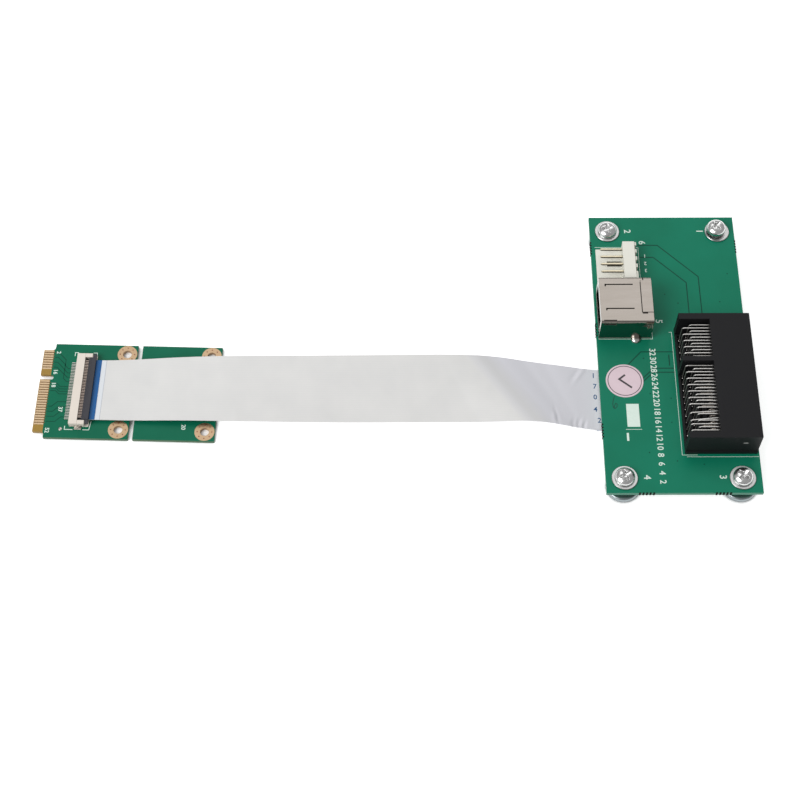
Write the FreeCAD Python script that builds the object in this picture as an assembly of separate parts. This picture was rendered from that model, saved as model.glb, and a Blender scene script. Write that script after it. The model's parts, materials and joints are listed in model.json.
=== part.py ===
import FreeCAD, Part
import math
import os

# Adapter from a mini card socket to a full-size card slot: a small card with edge contacts,
# a flat cable, and a slot board on four feet. Millimetres, Z up from the table.
# The board lies along X and Y. The card and its cable lie straight, turned a little against the board.

# Small card, measured from its contact end (X) and its near edge (Y)
CARD_LENGTH = 50.95
CARD_WIDTH = 30.0
CARD_THICKNESS = 1.0
TONGUE_LENGTH = 3.2
TONGUE_NEAR = 1.8
TONGUE_WIDTH = 26.15
SHOULDER_RADIUS = 0.8
KEY_WIDTH = 1.5
KEY_DEPTH = 3.8
KEY_CENTRE = 19.1
CARD_HALF_LENGTH = 26.8
CARD_HOLE_INSET = 2.9
CARD_HOLE_DIAMETER = 2.6
BREAK_SLOT_WIDTH = 1.35
BREAK_WEB = 14.0
BREAK_HOLE_WIDTH = 0.8
BREAK_HOLE_PITCH = 1.75
BREAK_HOLE_COUNT = 7

# Gold edge contacts on the card
FINGER_PITCH = 0.8
FINGER_WIDTH = 0.52
FINGER_LENGTH = 2.7
FINGER_INSET = 0.15
FINGER_FIRST = 27.55
FINGERS_BEFORE_KEY = 8
FINGERS_AFTER_KEY = 18
FINGER_KEY_GAP = 4.15
PLATING = 0.05

# Flip-lock socket for the flat cable, measured back from its mouth (X), along its width (Y) and up (Z)
SOCKET_LENGTH = 22.6
SOCKET_DEPTH = 5.85
SOCKET_HEIGHT = 2.0
SOCKET_BAR = 2.35
SOCKET_ROOF = 0.35
SOCKET_BACK = 0.8
SOCKET_FLOOR = 0.3
SOCKET_FLOOR_FRONT = 0.4
SOCKET_ARM_FRONT = 1.5
SOCKET_ARM_HEIGHT = 1.9
SOCKET_SIDE_PLAY = 0.6
SOCKET_BAR_END = 0.15
CABLE_HEIGHT = 1.0
CONTACT_PITCH = 0.5
CONTACT_WIDTH = 0.2
CONTACT_TAIL = 1.65
CONTACT_METAL = 0.27
CONTACT_PLAY = 0.05
CONTACT_FOOT = 0.4
CONTACT_BUMP_X = 1.8
LATCH_AXIS_X = 2.1
LATCH_AXIS_Z = 1.65
LATCH_NOSE_RADIUS = 0.3
LATCH_FRONT = 0.35
LATCH_BELOW_AXIS = 0.25
LATCH_ABOVE_AXIS = 0.5
LATCH_WEB = 0.6
LATCH_END_PLAY = 0.2
LATCH_EAR_LENGTH = 1.3
LATCH_EAR_INSET = 0.15
TAB_LENGTH = 2.0
TAB_FOOT = 0.95
TAB_HEIGHT = 1.0
TAB_METAL = 0.2
TAB_FROM_MOUTH = 3.4

# Flat cable: plain film with a stiffener at each end, on the side away from the contacts
CABLE_WIDTH = 19.0
CABLE_THICKNESS = 0.2
CABLE_INSERTION = 3.7
STIFFENER_LENGTH = 4.9
STIFFENER_THICKNESS = 0.15
CABLE_CARD_RUN = 10.7
CABLE_BOARD_RUN = 13.3
CABLE_MIDDLE = [(45.0, 4.1), (85.0, 5.9), (121.0, 8.9)]
ARC_SHARE = 0.45

# Where the card lies against the board
CARD_TURN = -1.75
CARD_TO_BOARD = 157.8
CARD_SOCKET_MOUTH = 16.0
CARD_SOCKET_CENTRE = 14.8
BOARD_SOCKET_INSET = 0.2
BOARD_SOCKET_CENTRE = 29.7

# Slot board, measured from its front left corner
BOARD_WIDTH = 42.3
BOARD_LENGTH = 89.7
BOARD_THICKNESS = 1.2
BOARD_HOLE_LEFT = 5.1
BOARD_HOLE_RIGHT = 5.3
BOARD_HOLE_FRONT = 4.4
BOARD_HOLE_BACK = 5.1
BITE_WIDTH = 0.55
BITE_PITCH = 0.95
BITE_COUNT = 5
FRONT_BITES = [10.9, 31.6]
LEFT_BITES = [19.0, 51.2, 78.9]
RIGHT_BITES = [79.4]

# Corner fixings: foot below the board, washer and pan-head screw above it
FOOT_HEIGHT = 4.4
FOOT_DISC_DIAMETER = 9.4
FOOT_DISC_HEIGHT = 1.8
FOOT_STEM_WIDTH = 6.4
FOOT_FLOOR = 0.8
SCREW_DIAMETER = 2.7
SCREW_LENGTH = 5.2
SCREW_HOLE_PLAY = 0.7
HEAD_DIAMETER = 5.8
HEAD_HEIGHT = 2.0
HEAD_TOP_DIAMETER = 4.4
HEAD_CROSS_LENGTH = 3.2
HEAD_CROSS_WIDTH = 0.8
HEAD_CROSS_DEPTH = 1.2
WASHER_DIAMETER = 7.1
WASHER_BORE = 3.4
WASHER_THICKNESS = 0.5
LOOSE_SCREW_LIFT = 1.0
LOOSE_SCREW_TILT = 5.0
LOOSE_WASHER_SLIP_X = 0.25
LOOSE_WASHER_SLIP_Y = -0.1

# Right-angle card slot: closed body with the mouth on the right, open lead bays on the left
SLOT_FROM_RIGHT = 0.6
SLOT_FRONT = 11.95
SLOT_LENGTH = 39.0
SLOT_DEPTH = 19.7
SLOT_HEIGHT = 9.4
SLOT_BODY_DEPTH = 11.15
SLOT_END_WALL = 1.9
SLOT_RIB = 1.5
SLOT_SKIRT = 0.25
SLOT_SKIRT_HEIGHT = 1.3
SLOT_CENTRE_HEIGHT = 5.4
SLOT_MOUTH_GAP = 1.8
SLOT_MOUTH_DEPTH = 8.3
SLOT_MOUTH_CHAMFER = 0.6
SLOT_KEY = 1.8
SLOT_BACK_WALL = 1.2
SLOT_LIP = 1.6
CHAMBER_HEIGHT = 2.15
CHAMBER_MARGIN = 0.5
LEAD_PITCH = 1.0
LEADS_FRONT = 21
LEADS_BACK = 11
LEAD_BANK_GAP = 3.0
LEAD_END = 3.0
LEAD_ROW_OFFSET = 2.5
LEAD_WIDTH = 0.4
LEAD_METAL = 0.25
LEAD_BEND = 0.2
LEAD_PLAY = 0.1
LEAD_SPRING_X = 2.6
LEAD_SPRING_LENGTH = 6.0
UPPER_LONG_DROP = 1.0
UPPER_SHORT_DROP = 3.0
LOWER_LONG_DROP = 5.2
LOWER_SHORT_DROP = 7.2
LEAD_TAIL = 0.9
LEAD_HOLE = 0.7
GUIDE_THICKNESS = 1.4
GUIDE_SLOT = 0.7
GUIDE_PLAY = 0.15

# Right-angle power header with four pins
HEADER_FROM_BACK = 17.85
HEADER_LENGTH = 12.4
HEADER_LEFT = 1.3
HEADER_TRAY = 7.35
HEADER_TRAY_THICKNESS = 0.7
HEADER_WALL = 3.4
HEADER_WALL_HEIGHT = 4.9
HEADER_LOCK_LENGTH = 4.25
HEADER_LOCK_WIDTH = 1.8
HEADER_LOCK_SHIFT = 1.2
HEADER_PINS = 4
HEADER_PITCH = 2.5
HEADER_PIN_SHIFT = 0.7
PIN_SIZE = 0.64
PIN_HEIGHT = 3.2
PIN_TIP_INSET = 0.9
PIN_LEG_BEHIND = 0.4
HEADER_POST = 0.6
HEADER_POST_BELOW = 0.4
HEADER_NOTCH = 1.3
PIN_FIT = 0.03

# Shielded socket with its mouth on the left
SHIELD_LEFT = 0.5
SHIELD_DEPTH = 14.8
SHIELD_FROM_HEADER = 2.35
SHIELD_WIDTH = 15.0
SHIELD_HEIGHT = 8.9
SHIELD_METAL = 0.35
SHIELD_MOUTH_WIDTH = 12.2
SHIELD_MOUTH_HEIGHT = 5.4
SHIELD_BEND = 0.7
SHIELD_SLIT_LENGTH = 7.6
SHIELD_SLIT_WIDTH = 0.3
SHIELD_SLIT_SPACING = 7.95
SHIELD_ROOF_SHIFT = 1.0
SHIELD_SLIT_FROM_MOUTH = 1.9
SHIELD_SLIT_HOOK = 0.6
SHIELD_FLAP_DEPTH = 3.1
SHIELD_FLAP_WIDTH = 10.5
SHIELD_FLAP_METAL = 0.2
SHIELD_SIDE_SLOT_LENGTH = 3.4
SHIELD_SIDE_SLOT_HEIGHT = 0.5
SHIELD_SIDE_SLOT_BELOW = 0.9
SHIELD_SIDE_SLOT_INSET = 0.9
SHIELD_LOCK_LENGTH = 2.2
SHIELD_LOCK_HEIGHT = 0.35
SHIELD_LOCK_PITCH = 0.75
SHIELD_LOCK_COUNT = 2
SHIELD_LOCK_BELOW = 1.3
SHIELD_LOCK_INSET = 0.5
SHIELD_LEG_WIDTH = 1.6
SHIELD_LEG_FROM_MOUTH = 10.6
SHIELD_LEG_PLAY = 0.2
CORE_FROM_MOUTH = 6.2
CORE_PLAY = 0.1
TONGUE_PLATE_WIDTH = 8.0
TONGUE_PLATE_THICKNESS = 2.0
TONGUE_PLATE_INSET = 0.8
BLADE_COUNT = 3
BLADE_PITCH = 2.2
BLADE_WIDTH = 1.1
BLADE_METAL = 0.15
BLADE_INSET = 0.5

# Round paper label
LABEL_X = 7.05
LABEL_FROM_SHIELD = 8.5
LABEL_DIAMETER = 10.5
LABEL_THICKNESS = 0.1

# Distance within which two places count as the same
SAME_PLACE = 1e-6


def point(x, y, z=0.0):
    return FreeCAD.Vector(x, y, z)


def block(x, y, z):
    """Box between the two values given for each axis."""
    return Part.makeBox(x[1] - x[0], y[1] - y[0], z[1] - z[0], point(x[0], y[0], z[0]))


def around(middle, width):
    return (middle - width / 2, middle + width / 2)


def drum(diameter, x, y, z):
    """Upright cylinder between two heights."""
    return Part.makeCylinder(diameter / 2, z[1] - z[0], point(x, y, z[0]))


def side_profile(outline, y):
    """Outline in X and Z, carried along Y between the two values."""
    corners = [point(a, y[0], b) for a, b in outline]
    return Part.Face(Part.makePolygon(corners + corners[:1])).extrude(point(0, y[1] - y[0], 0))


def plan_profile(outline, z):
    """Outline in X and Y, carried up between the two heights."""
    corners = [point(a, b, z[0]) for a, b in outline]
    return Part.Face(Part.makePolygon(corners + corners[:1])).extrude(point(0, 0, z[1] - z[0]))


def turned(outline):
    """Outline of radius and height, turned about Z."""
    corners = [point(r, 0, z) for r, z in outline]
    return Part.Face(Part.makePolygon(corners + corners[:1])).revolve(point(0, 0), point(0, 0, 1), 360)


def upright_edges(solid, x, y):
    """The solid's upright edges at that place in plan."""
    def at_place(edge):
        middle = edge.CenterOfMass
        level = abs(edge.Vertexes[0].X - edge.Vertexes[-1].X) + abs(edge.Vertexes[0].Y - edge.Vertexes[-1].Y)
        return level < SAME_PLACE and math.hypot(middle.x - x, middle.y - y) < SAME_PLACE
    return [edge for edge in solid.Edges if at_place(edge)]


def six_sided(width, x, y, z):
    """Upright six-sided prism, measured across its corners."""
    turns = [math.tau * i / 6 for i in range(6)]
    return plan_profile([(x + width / 2 * math.cos(a), y + width / 2 * math.sin(a)) for a in turns], z)


def spread(count, pitch, middle=0.0):
    """Places of a row of that many, centred on the middle."""
    return [middle + pitch * (i - (count - 1) / 2) for i in range(count)]


# Small card

CARD_HOLES = [(x - CARD_HOLE_INSET, y) for x in (CARD_HALF_LENGTH, CARD_LENGTH)
              for y in (CARD_HOLE_INSET, CARD_WIDTH - CARD_HOLE_INSET)]
BREAK_LINE = CARD_HALF_LENGTH + BREAK_SLOT_WIDTH / 2


def card_board():
    """Card with a stepped contact tongue, key notch, screw holes and the break line to half length."""
    level = (0, CARD_THICKNESS)
    far = TONGUE_NEAR + TONGUE_WIDTH
    outline = [(0, TONGUE_NEAR), (TONGUE_LENGTH, TONGUE_NEAR), (TONGUE_LENGTH, 0), (CARD_LENGTH, 0),
               (CARD_LENGTH, CARD_WIDTH), (TONGUE_LENGTH, CARD_WIDTH), (TONGUE_LENGTH, far), (0, far)]
    card = plan_profile(outline, level)
    inner = upright_edges(card, TONGUE_LENGTH, TONGUE_NEAR) + upright_edges(card, TONGUE_LENGTH, far)
    card = card.makeFillet(min(SHOULDER_RADIUS, TONGUE_NEAR / 2), inner)
    key_end = KEY_DEPTH - KEY_WIDTH / 2
    cuts = [block((0, key_end), around(KEY_CENTRE, KEY_WIDTH), level)]
    cuts.append(drum(KEY_WIDTH, key_end, KEY_CENTRE, level))
    cuts += [drum(CARD_HOLE_DIAMETER, x, y, level) for x, y in CARD_HOLES]
    web = around(CARD_WIDTH / 2, BREAK_WEB)
    for edge in ((0, web[0]), (web[1], CARD_WIDTH)):
        cuts.append(block(around(BREAK_LINE, BREAK_SLOT_WIDTH), edge, level))
    for y in spread(BREAK_HOLE_COUNT, BREAK_HOLE_PITCH, CARD_WIDTH / 2):
        cuts.append(six_sided(BREAK_HOLE_WIDTH, BREAK_LINE, y, level))
    return card.cut(cuts)


def card_edge_contacts():
    """Gold pads on both faces of the tongue, in two banks either side of the key."""
    after = FINGER_FIRST - FINGER_PITCH * (FINGERS_BEFORE_KEY - 1) - FINGER_KEY_GAP
    rows = [FINGER_FIRST - FINGER_PITCH * i for i in range(FINGERS_BEFORE_KEY)]
    rows += [after - FINGER_PITCH * i for i in range(FINGERS_AFTER_KEY)]
    long = (FINGER_INSET, FINGER_INSET + FINGER_LENGTH)
    faces = ((CARD_THICKNESS, CARD_THICKNESS + PLATING), (-PLATING, 0))
    return Part.makeCompound([block(long, around(y, FINGER_WIDTH), z) for z in faces for y in rows])


# Flip-lock socket, in its own frame: mouth at X 0, cable leaving along +X, board at Z 0

CONTACT_COUNT = round(CABLE_WIDTH / CONTACT_PITCH) - 1
SOCKET_INNER = CABLE_WIDTH / 2 + SOCKET_SIDE_PLAY
BEAM_BACK = SOCKET_BACK + CONTACT_PLAY - SOCKET_DEPTH


def socket_housing():
    """Moulding with a back bar over the contacts, an arm at each end and a floor strip at the mouth."""
    half = SOCKET_LENGTH / 2
    inside = (-SOCKET_INNER, SOCKET_INNER)
    bar_front = SOCKET_BAR - SOCKET_DEPTH
    body = block((-SOCKET_DEPTH, bar_front), (-half, half), (0, SOCKET_HEIGHT))
    arms = block((bar_front, -SOCKET_ARM_FRONT), (-half, half), (0, SOCKET_ARM_HEIGHT))
    tray = block((-SOCKET_ARM_FRONT, -SOCKET_FLOOR_FRONT), (-half, half), (0, SOCKET_FLOOR))
    body = body.fuse([arms, tray]).removeSplitter()
    bay = block((BEAM_BACK - CONTACT_PLAY, 0), inside, (SOCKET_FLOOR, SOCKET_HEIGHT - SOCKET_ROOF))
    open_front = block((bar_front, 0), inside, (SOCKET_FLOOR, SOCKET_HEIGHT))
    beam_gap = block((BEAM_BACK - CONTACT_PLAY, CONTACT_PLAY - CONTACT_BUMP_X), inside, (0, SOCKET_FLOOR))
    tail_gap = block((-SOCKET_DEPTH, BEAM_BACK), inside, (0, CONTACT_METAL + CONTACT_PLAY))
    bar_ends = [block((-SOCKET_DEPTH, bar_front), y, (SOCKET_ARM_HEIGHT, SOCKET_HEIGHT))
                for y in ((-half, SOCKET_BAR_END - half), (half - SOCKET_BAR_END, half))]
    return body.cut([bay, open_front, beam_gap, tail_gap] + bar_ends)


def socket_contacts():
    """Springs: a solder tail that runs out under the back wall, and a beam that rises to the cable."""
    bump_top = CABLE_HEIGHT - CABLE_THICKNESS / 2 - CONTACT_PLAY
    outline = [(-SOCKET_DEPTH - CONTACT_TAIL, 0), (BEAM_BACK + CONTACT_FOOT, 0),
               (-CONTACT_BUMP_X, bump_top - CONTACT_METAL), (-CONTACT_BUMP_X, bump_top),
               (BEAM_BACK, CONTACT_METAL), (-SOCKET_DEPTH - CONTACT_TAIL, CONTACT_METAL)]
    rows = spread(CONTACT_COUNT, CONTACT_PITCH)
    return Part.makeCompound([side_profile(outline, around(y, CONTACT_WIDTH)) for y in rows])


def socket_latch():
    """Flip bar that turns about its rounded nose, with an ear in front of each arm."""
    nose_x = -LATCH_AXIS_X
    low = LATCH_AXIS_Z - LATCH_BELOW_AXIS
    high = LATCH_AXIS_Z + LATCH_ABOVE_AXIS
    nose_high = LATCH_AXIS_Z + LATCH_BELOW_AXIS
    width = around(0, 2 * (SOCKET_INNER - LATCH_END_PLAY))
    web = nose_x + LATCH_WEB
    front = -LATCH_FRONT
    bar = side_profile([(nose_x, low), (front, low), (front, high), (web, high), (web, nose_high),
                        (nose_x, nose_high)], width)
    nose_end = point(nose_x, width[0], LATCH_AXIS_Z)
    nose = Part.makeCylinder(LATCH_NOSE_RADIUS, width[1] - width[0], nose_end, point(0, 1, 0))
    ears = block((-LATCH_EAR_LENGTH, front), around(0, SOCKET_LENGTH - 2 * LATCH_EAR_INSET), (low, nose_high))
    return bar.fuse([nose, ears]).removeSplitter()


def socket_tabs():
    """Bent hold-down tabs soldered beside the two ends."""
    half = SOCKET_LENGTH / 2
    mid = -TAB_FROM_MOUTH
    tabs = []
    for side in (-1, 1):
        foot = sorted((side * half, side * (half + TAB_FOOT)))
        wall = sorted((side * half, side * (half + TAB_METAL)))
        plate = block(around(mid, TAB_LENGTH), foot, (0, TAB_METAL))
        tabs.append(plate.fuse(block(around(mid, TAB_LENGTH), wall, (0, TAB_HEIGHT))).removeSplitter())
    return Part.makeCompound(tabs)


# Flat cable, in the card's frame

def cable_route():
    """Route in X and Z from the end in the card's socket to the end in the board's socket."""
    start = CARD_SOCKET_MOUTH - CABLE_INSERTION
    end = CARD_TO_BOARD + BOARD_SOCKET_INSET + CABLE_INSERTION
    at_card = CARD_THICKNESS + CABLE_HEIGHT
    at_board = FOOT_HEIGHT - PLATING - CABLE_HEIGHT
    return ([(start, at_card), (start + CABLE_CARD_RUN, at_card)] + CABLE_MIDDLE
            + [(end - CABLE_BOARD_RUN, at_board), (end, at_board)])


def cable_pieces(route):
    """Straight runs and tangent arcs: lists of (place, normal), two for a run and three for an arc."""
    spots = [point(x, 0, z) for x, z in route]
    runs = [b - a for a, b in zip(spots, spots[1:])]
    normals = [point(-run.z, 0, run.x).normalize() for run in runs]
    pieces = []
    last = spots[0]
    for i in range(1, len(runs)):
        turn = runs[i - 1].getAngle(runs[i])
        reach = ARC_SHARE * min(runs[i - 1].Length, runs[i].Length)
        radius = reach / math.tan(turn / 2)
        first = spots[i] - FreeCAD.Vector(runs[i - 1]).normalize() * reach
        second = spots[i] + FreeCAD.Vector(runs[i]).normalize() * reach
        middle_normal = (normals[i - 1] + normals[i]).normalize()
        inwards = 1 if normals[i - 1].dot(runs[i]) > 0 else -1
        middle = spots[i] + middle_normal * (inwards * radius * (1 / math.cos(turn / 2) - 1))
        pieces.append([(last, normals[i - 1]), (first, normals[i - 1])])
        pieces.append([(first, normals[i - 1]), (middle, middle_normal), (second, normals[i])])
        print(f"cable bend {i}: radius {radius:.1f} mm, turn {math.degrees(turn):.1f} degrees")
        last = second
    pieces.append([(last, normals[-1]), (spots[-1], normals[-1])])
    return pieces


def cable_edges(pieces, offset):
    edges = []
    for piece in pieces:
        places = [place + normal * offset for place, normal in piece]
        curve = Part.LineSegment(*places) if len(places) == 2 else Part.Arc(*places)
        edges.append(curve.toShape())
    return edges


def flat_cable():
    """Film of one thickness along the route."""
    pieces = cable_pieces(cable_route())
    half = CABLE_THICKNESS / 2
    above = cable_edges(pieces, half)
    below = cable_edges(pieces, -half)
    caps = [Part.makeLine(place - normal * half, place + normal * half)
            for place, normal in (pieces[0][0], pieces[-1][-1])]
    section = Part.Face(Part.Wire(Part.sortEdges(above + below + caps)[0]))
    length = sum(edge.Length for edge in cable_edges(pieces, 0))
    cable = section.extrude(point(0, CABLE_WIDTH, 0))
    cable.translate(point(0, CARD_SOCKET_CENTRE - CABLE_WIDTH / 2, 0))
    print(f"cable length {length:.2f} mm, volume {cable.Volume:.3f}, section times length "
          f"{length * CABLE_WIDTH * CABLE_THICKNESS:.3f}")
    return cable


def card_end_stiffener():
    """Blue film on top of the cable's end at the card."""
    start, height = cable_route()[0]
    low = height + CABLE_THICKNESS / 2
    return block((start, start + STIFFENER_LENGTH), around(CARD_SOCKET_CENTRE, CABLE_WIDTH),
                 (low, low + STIFFENER_THICKNESS))


def board_end_stiffener():
    """Blue film under the cable's end at the board."""
    end, height = cable_route()[-1]
    high = height - CABLE_THICKNESS / 2
    return block((end - STIFFENER_LENGTH, end), around(CARD_SOCKET_CENTRE, CABLE_WIDTH),
                 (high - STIFFENER_THICKNESS, high))


# Slot board

BOARD_TOP = FOOT_HEIGHT + BOARD_THICKNESS
BOARD_LEVEL = (FOOT_HEIGHT, BOARD_TOP)
CORNERS = [(x, y) for y in (BOARD_HOLE_FRONT, BOARD_LENGTH - BOARD_HOLE_BACK)
           for x in (BOARD_HOLE_LEFT, BOARD_WIDTH - BOARD_HOLE_RIGHT)]
LOOSE_CORNER = CORNERS[3]
LEAD_PLACES = [SLOT_FRONT + LEAD_END + LEAD_PITCH * i for i in range(LEADS_FRONT)]
LEAD_PLACES += [LEAD_PLACES[-1] + LEAD_BANK_GAP + LEAD_PITCH * i for i in range(LEADS_BACK)]
BANKS = [(LEAD_PLACES[0], LEAD_PLACES[LEADS_FRONT - 1]), (LEAD_PLACES[LEADS_FRONT], LEAD_PLACES[-1])]
KEY_PLACE = (BANKS[0][1] + BANKS[1][0]) / 2
HEADER_CENTRE = BOARD_LENGTH - HEADER_FROM_BACK
PIN_PLACES = spread(HEADER_PINS, HEADER_PITCH, HEADER_CENTRE + HEADER_PIN_SHIFT)
PIN_LEG_X = HEADER_LEFT + HEADER_TRAY + HEADER_WALL + PIN_LEG_BEHIND
SHIELD_CENTRE = HEADER_CENTRE - HEADER_LENGTH / 2 - SHIELD_FROM_HEADER - SHIELD_WIDTH / 2
SHIELD_SIDES = around(SHIELD_CENTRE, SHIELD_WIDTH)
LABEL_Y = SHIELD_SIDES[0] - LABEL_FROM_SHIELD - LABEL_DIAMETER / 2
SLOT_RIGHT = BOARD_WIDTH - SLOT_FROM_RIGHT
SLOT_LEFT = SLOT_RIGHT - SLOT_DEPTH


def lead_drop(index, long_drop, short_drop):
    """X of a lead's down leg: every second lead is a long one."""
    return SLOT_LEFT + (long_drop if index % 2 == 0 else short_drop)


def shield_leg(side, play):
    """One leg of the shield in plan, with play around it."""
    wall = sorted((SHIELD_SIDES[side], SHIELD_SIDES[side] + (1 - 2 * side) * SHIELD_METAL))
    length = around(SHIELD_LEFT + SHIELD_LEG_FROM_MOUTH, SHIELD_LEG_WIDTH + 2 * play)
    return length, (wall[0] - play, wall[1] + play)


def main_board():
    """Board with corner holes, lead holes and the bites left where it was broken from its panel."""
    board = block((0, BOARD_WIDTH), (0, BOARD_LENGTH), BOARD_LEVEL)
    cuts = [drum(SCREW_DIAMETER + SCREW_HOLE_PLAY, x, y, BOARD_LEVEL) for x, y in CORNERS]
    for i, y in enumerate(LEAD_PLACES):
        for drops in ((UPPER_LONG_DROP, UPPER_SHORT_DROP), (LOWER_LONG_DROP, LOWER_SHORT_DROP)):
            cuts.append(block(around(lead_drop(i, *drops), LEAD_HOLE), around(y, LEAD_HOLE), BOARD_LEVEL))
    pin_hole = PIN_SIZE + 2 * LEAD_PLAY
    cuts += [block(around(PIN_LEG_X, pin_hole), around(y, pin_hole), BOARD_LEVEL) for y in PIN_PLACES]
    cuts += [block(*shield_leg(side, SHIELD_LEG_PLAY), BOARD_LEVEL) for side in (0, 1)]
    bites = [(x, 0) for middle in FRONT_BITES for x in spread(BITE_COUNT, BITE_PITCH, middle)]
    bites += [(0, y) for middle in LEFT_BITES for y in spread(BITE_COUNT, BITE_PITCH, middle)]
    bites += [(BOARD_WIDTH, y) for middle in RIGHT_BITES for y in spread(BITE_COUNT, BITE_PITCH, middle)]
    cuts += [six_sided(BITE_WIDTH, x, y, BOARD_LEVEL) for x, y in bites]
    return board.cut(cuts)


def corner_feet():
    """Feet: a wide disc on the table, a six-sided stem under the board and a blind bore for the screw."""
    foot = drum(FOOT_DISC_DIAMETER, 0, 0, (0, FOOT_DISC_HEIGHT))
    foot = foot.fuse(six_sided(FOOT_STEM_WIDTH, 0, 0, (0, FOOT_HEIGHT)))
    bore = drum(SCREW_DIAMETER + SCREW_HOLE_PLAY, 0, 0, (FOOT_FLOOR, FOOT_HEIGHT))
    foot = foot.cut(bore).removeSplitter()
    return Part.makeCompound([foot.translated(point(x, y)) for x, y in CORNERS])


def corner_washers():
    """Flat washers on the board; the one under the loose screw has slipped aside."""
    inner = WASHER_BORE / 2
    outer = WASHER_DIAMETER / 2
    ring = turned([(inner, 0), (outer, 0), (outer, WASHER_THICKNESS), (inner, WASHER_THICKNESS)])
    washers = [ring.translated(point(x, y, BOARD_TOP)) for x, y in CORNERS]
    washers[CORNERS.index(LOOSE_CORNER)].translate(point(LOOSE_WASHER_SLIP_X, LOOSE_WASHER_SLIP_Y))
    return Part.makeCompound(washers)


def screw():
    """Screw with a tapered pan head and a cross recess, its head's underside at Z 0."""
    head = HEAD_DIAMETER / 2
    shank = SCREW_DIAMETER / 2
    solid = turned([(0, -SCREW_LENGTH), (shank, -SCREW_LENGTH), (shank, 0), (head, 0),
                    (HEAD_TOP_DIAMETER / 2, HEAD_HEIGHT), (0, HEAD_HEIGHT)])
    depth = (HEAD_HEIGHT - HEAD_CROSS_DEPTH, HEAD_HEIGHT)
    long = around(0, HEAD_CROSS_LENGTH)
    narrow = around(0, HEAD_CROSS_WIDTH)
    return solid.cut([block(long, narrow, depth), block(narrow, long, depth)])


def corner_screws():
    """Three tight screws, and one that stands proud and leans in its hole."""
    seat = BOARD_TOP + WASHER_THICKNESS
    screws = []
    for corner in CORNERS:
        solid = screw().translated(point(corner[0], corner[1], seat))
        if corner == LOOSE_CORNER:
            solid.translate(point(0, 0, LOOSE_SCREW_LIFT))
            solid.rotate(point(corner[0], corner[1], BOARD_TOP), point(0, 1, 0), -LOOSE_SCREW_TILT)
        screws.append(solid)
    return Part.makeCompound(screws)


# Card slot on the board

SLOT_BODY_LEFT = SLOT_RIGHT - SLOT_BODY_DEPTH
SLOT_BACK = SLOT_FRONT + SLOT_LENGTH
SLOT_AXIS = BOARD_TOP + SLOT_CENTRE_HEIGHT
BAY_FRONTS = (SLOT_FRONT + SLOT_END_WALL, KEY_PLACE + SLOT_RIB / 2)
BAY_BACKS = (KEY_PLACE - SLOT_RIB / 2, SLOT_BACK - SLOT_END_WALL)


def slot_housing():
    """Moulded body: mouth with a key, two rows of contact chambers, lead bays and a skirt at the ends."""
    body = block((SLOT_LEFT, SLOT_RIGHT), (SLOT_FRONT, SLOT_BACK), (BOARD_TOP, BOARD_TOP + SLOT_HEIGHT))
    skirt = block((SLOT_LEFT, SLOT_RIGHT), (SLOT_FRONT - SLOT_SKIRT, SLOT_BACK + SLOT_SKIRT),
                  (BOARD_TOP, BOARD_TOP + SLOT_SKIRT_HEIGHT))
    body = body.fuse(skirt)
    cuts = [block((SLOT_LEFT, SLOT_BODY_LEFT), bay, (BOARD_TOP, BOARD_TOP + SLOT_HEIGHT))
            for bay in zip(BAY_FRONTS, BAY_BACKS)]
    mouth_back = SLOT_RIGHT - SLOT_MOUTH_DEPTH
    half_gap = SLOT_MOUTH_GAP / 2
    wide = half_gap + SLOT_MOUTH_CHAMFER
    entry = [(mouth_back, SLOT_AXIS - half_gap), (SLOT_RIGHT - SLOT_MOUTH_CHAMFER, SLOT_AXIS - half_gap),
             (SLOT_RIGHT, SLOT_AXIS - wide), (SLOT_RIGHT, SLOT_AXIS + wide),
             (SLOT_RIGHT - SLOT_MOUTH_CHAMFER, SLOT_AXIS + half_gap), (mouth_back, SLOT_AXIS + half_gap)]
    mouths = ((SLOT_FRONT + SLOT_END_WALL, KEY_PLACE - SLOT_KEY / 2),
              (KEY_PLACE + SLOT_KEY / 2, SLOT_BACK - SLOT_END_WALL))
    cuts += [side_profile(entry, mouth) for mouth in mouths]
    for bank in BANKS:
        row = (bank[0] - CHAMBER_MARGIN, bank[1] + CHAMBER_MARGIN)
        for side in (-1, 1):
            chamber = sorted((SLOT_AXIS + side * half_gap, SLOT_AXIS + side * (half_gap + CHAMBER_HEIGHT)))
            cuts.append(block((SLOT_BODY_LEFT + SLOT_BACK_WALL, SLOT_RIGHT - SLOT_LIP), row, chamber))
            window = around(SLOT_AXIS + side * LEAD_ROW_OFFSET, LEAD_METAL + 2 * LEAD_PLAY)
            cuts.append(block((SLOT_BODY_LEFT, SLOT_BODY_LEFT + SLOT_BACK_WALL), row, window))
    return body.cut(cuts)


def slot_lead(drop_x, side):
    """One lead in X and Z: pointed spring in the chamber, straight run, bend, down leg through the board."""
    half = LEAD_METAL / 2
    row = SLOT_AXIS + side * LEAD_ROW_OFFSET
    spring_x = SLOT_BODY_LEFT + LEAD_SPRING_X
    tip_x = spring_x + LEAD_SPRING_LENGTH
    tip = SLOT_AXIS + side * (SLOT_MOUTH_GAP / 2)
    bottom = FOOT_HEIGHT - LEAD_TAIL
    left = drop_x - half
    right = drop_x + half
    return [(left, bottom), (right, bottom), (right, row - half), (spring_x, row - half),
            (tip_x, tip), (spring_x, row + half), (left + LEAD_BEND, row + half),
            (left, row + half - LEAD_BEND)]


def slot_contacts(side, long_drop, short_drop):
    """A row of leads, alternately long and short."""
    outlines = [slot_lead(lead_drop(i, long_drop, short_drop), side) for i in range(len(LEAD_PLACES))]
    return Part.makeCompound([side_profile(outline, around(y, LEAD_WIDTH))
                              for outline, y in zip(outlines, LEAD_PLACES)])


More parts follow.
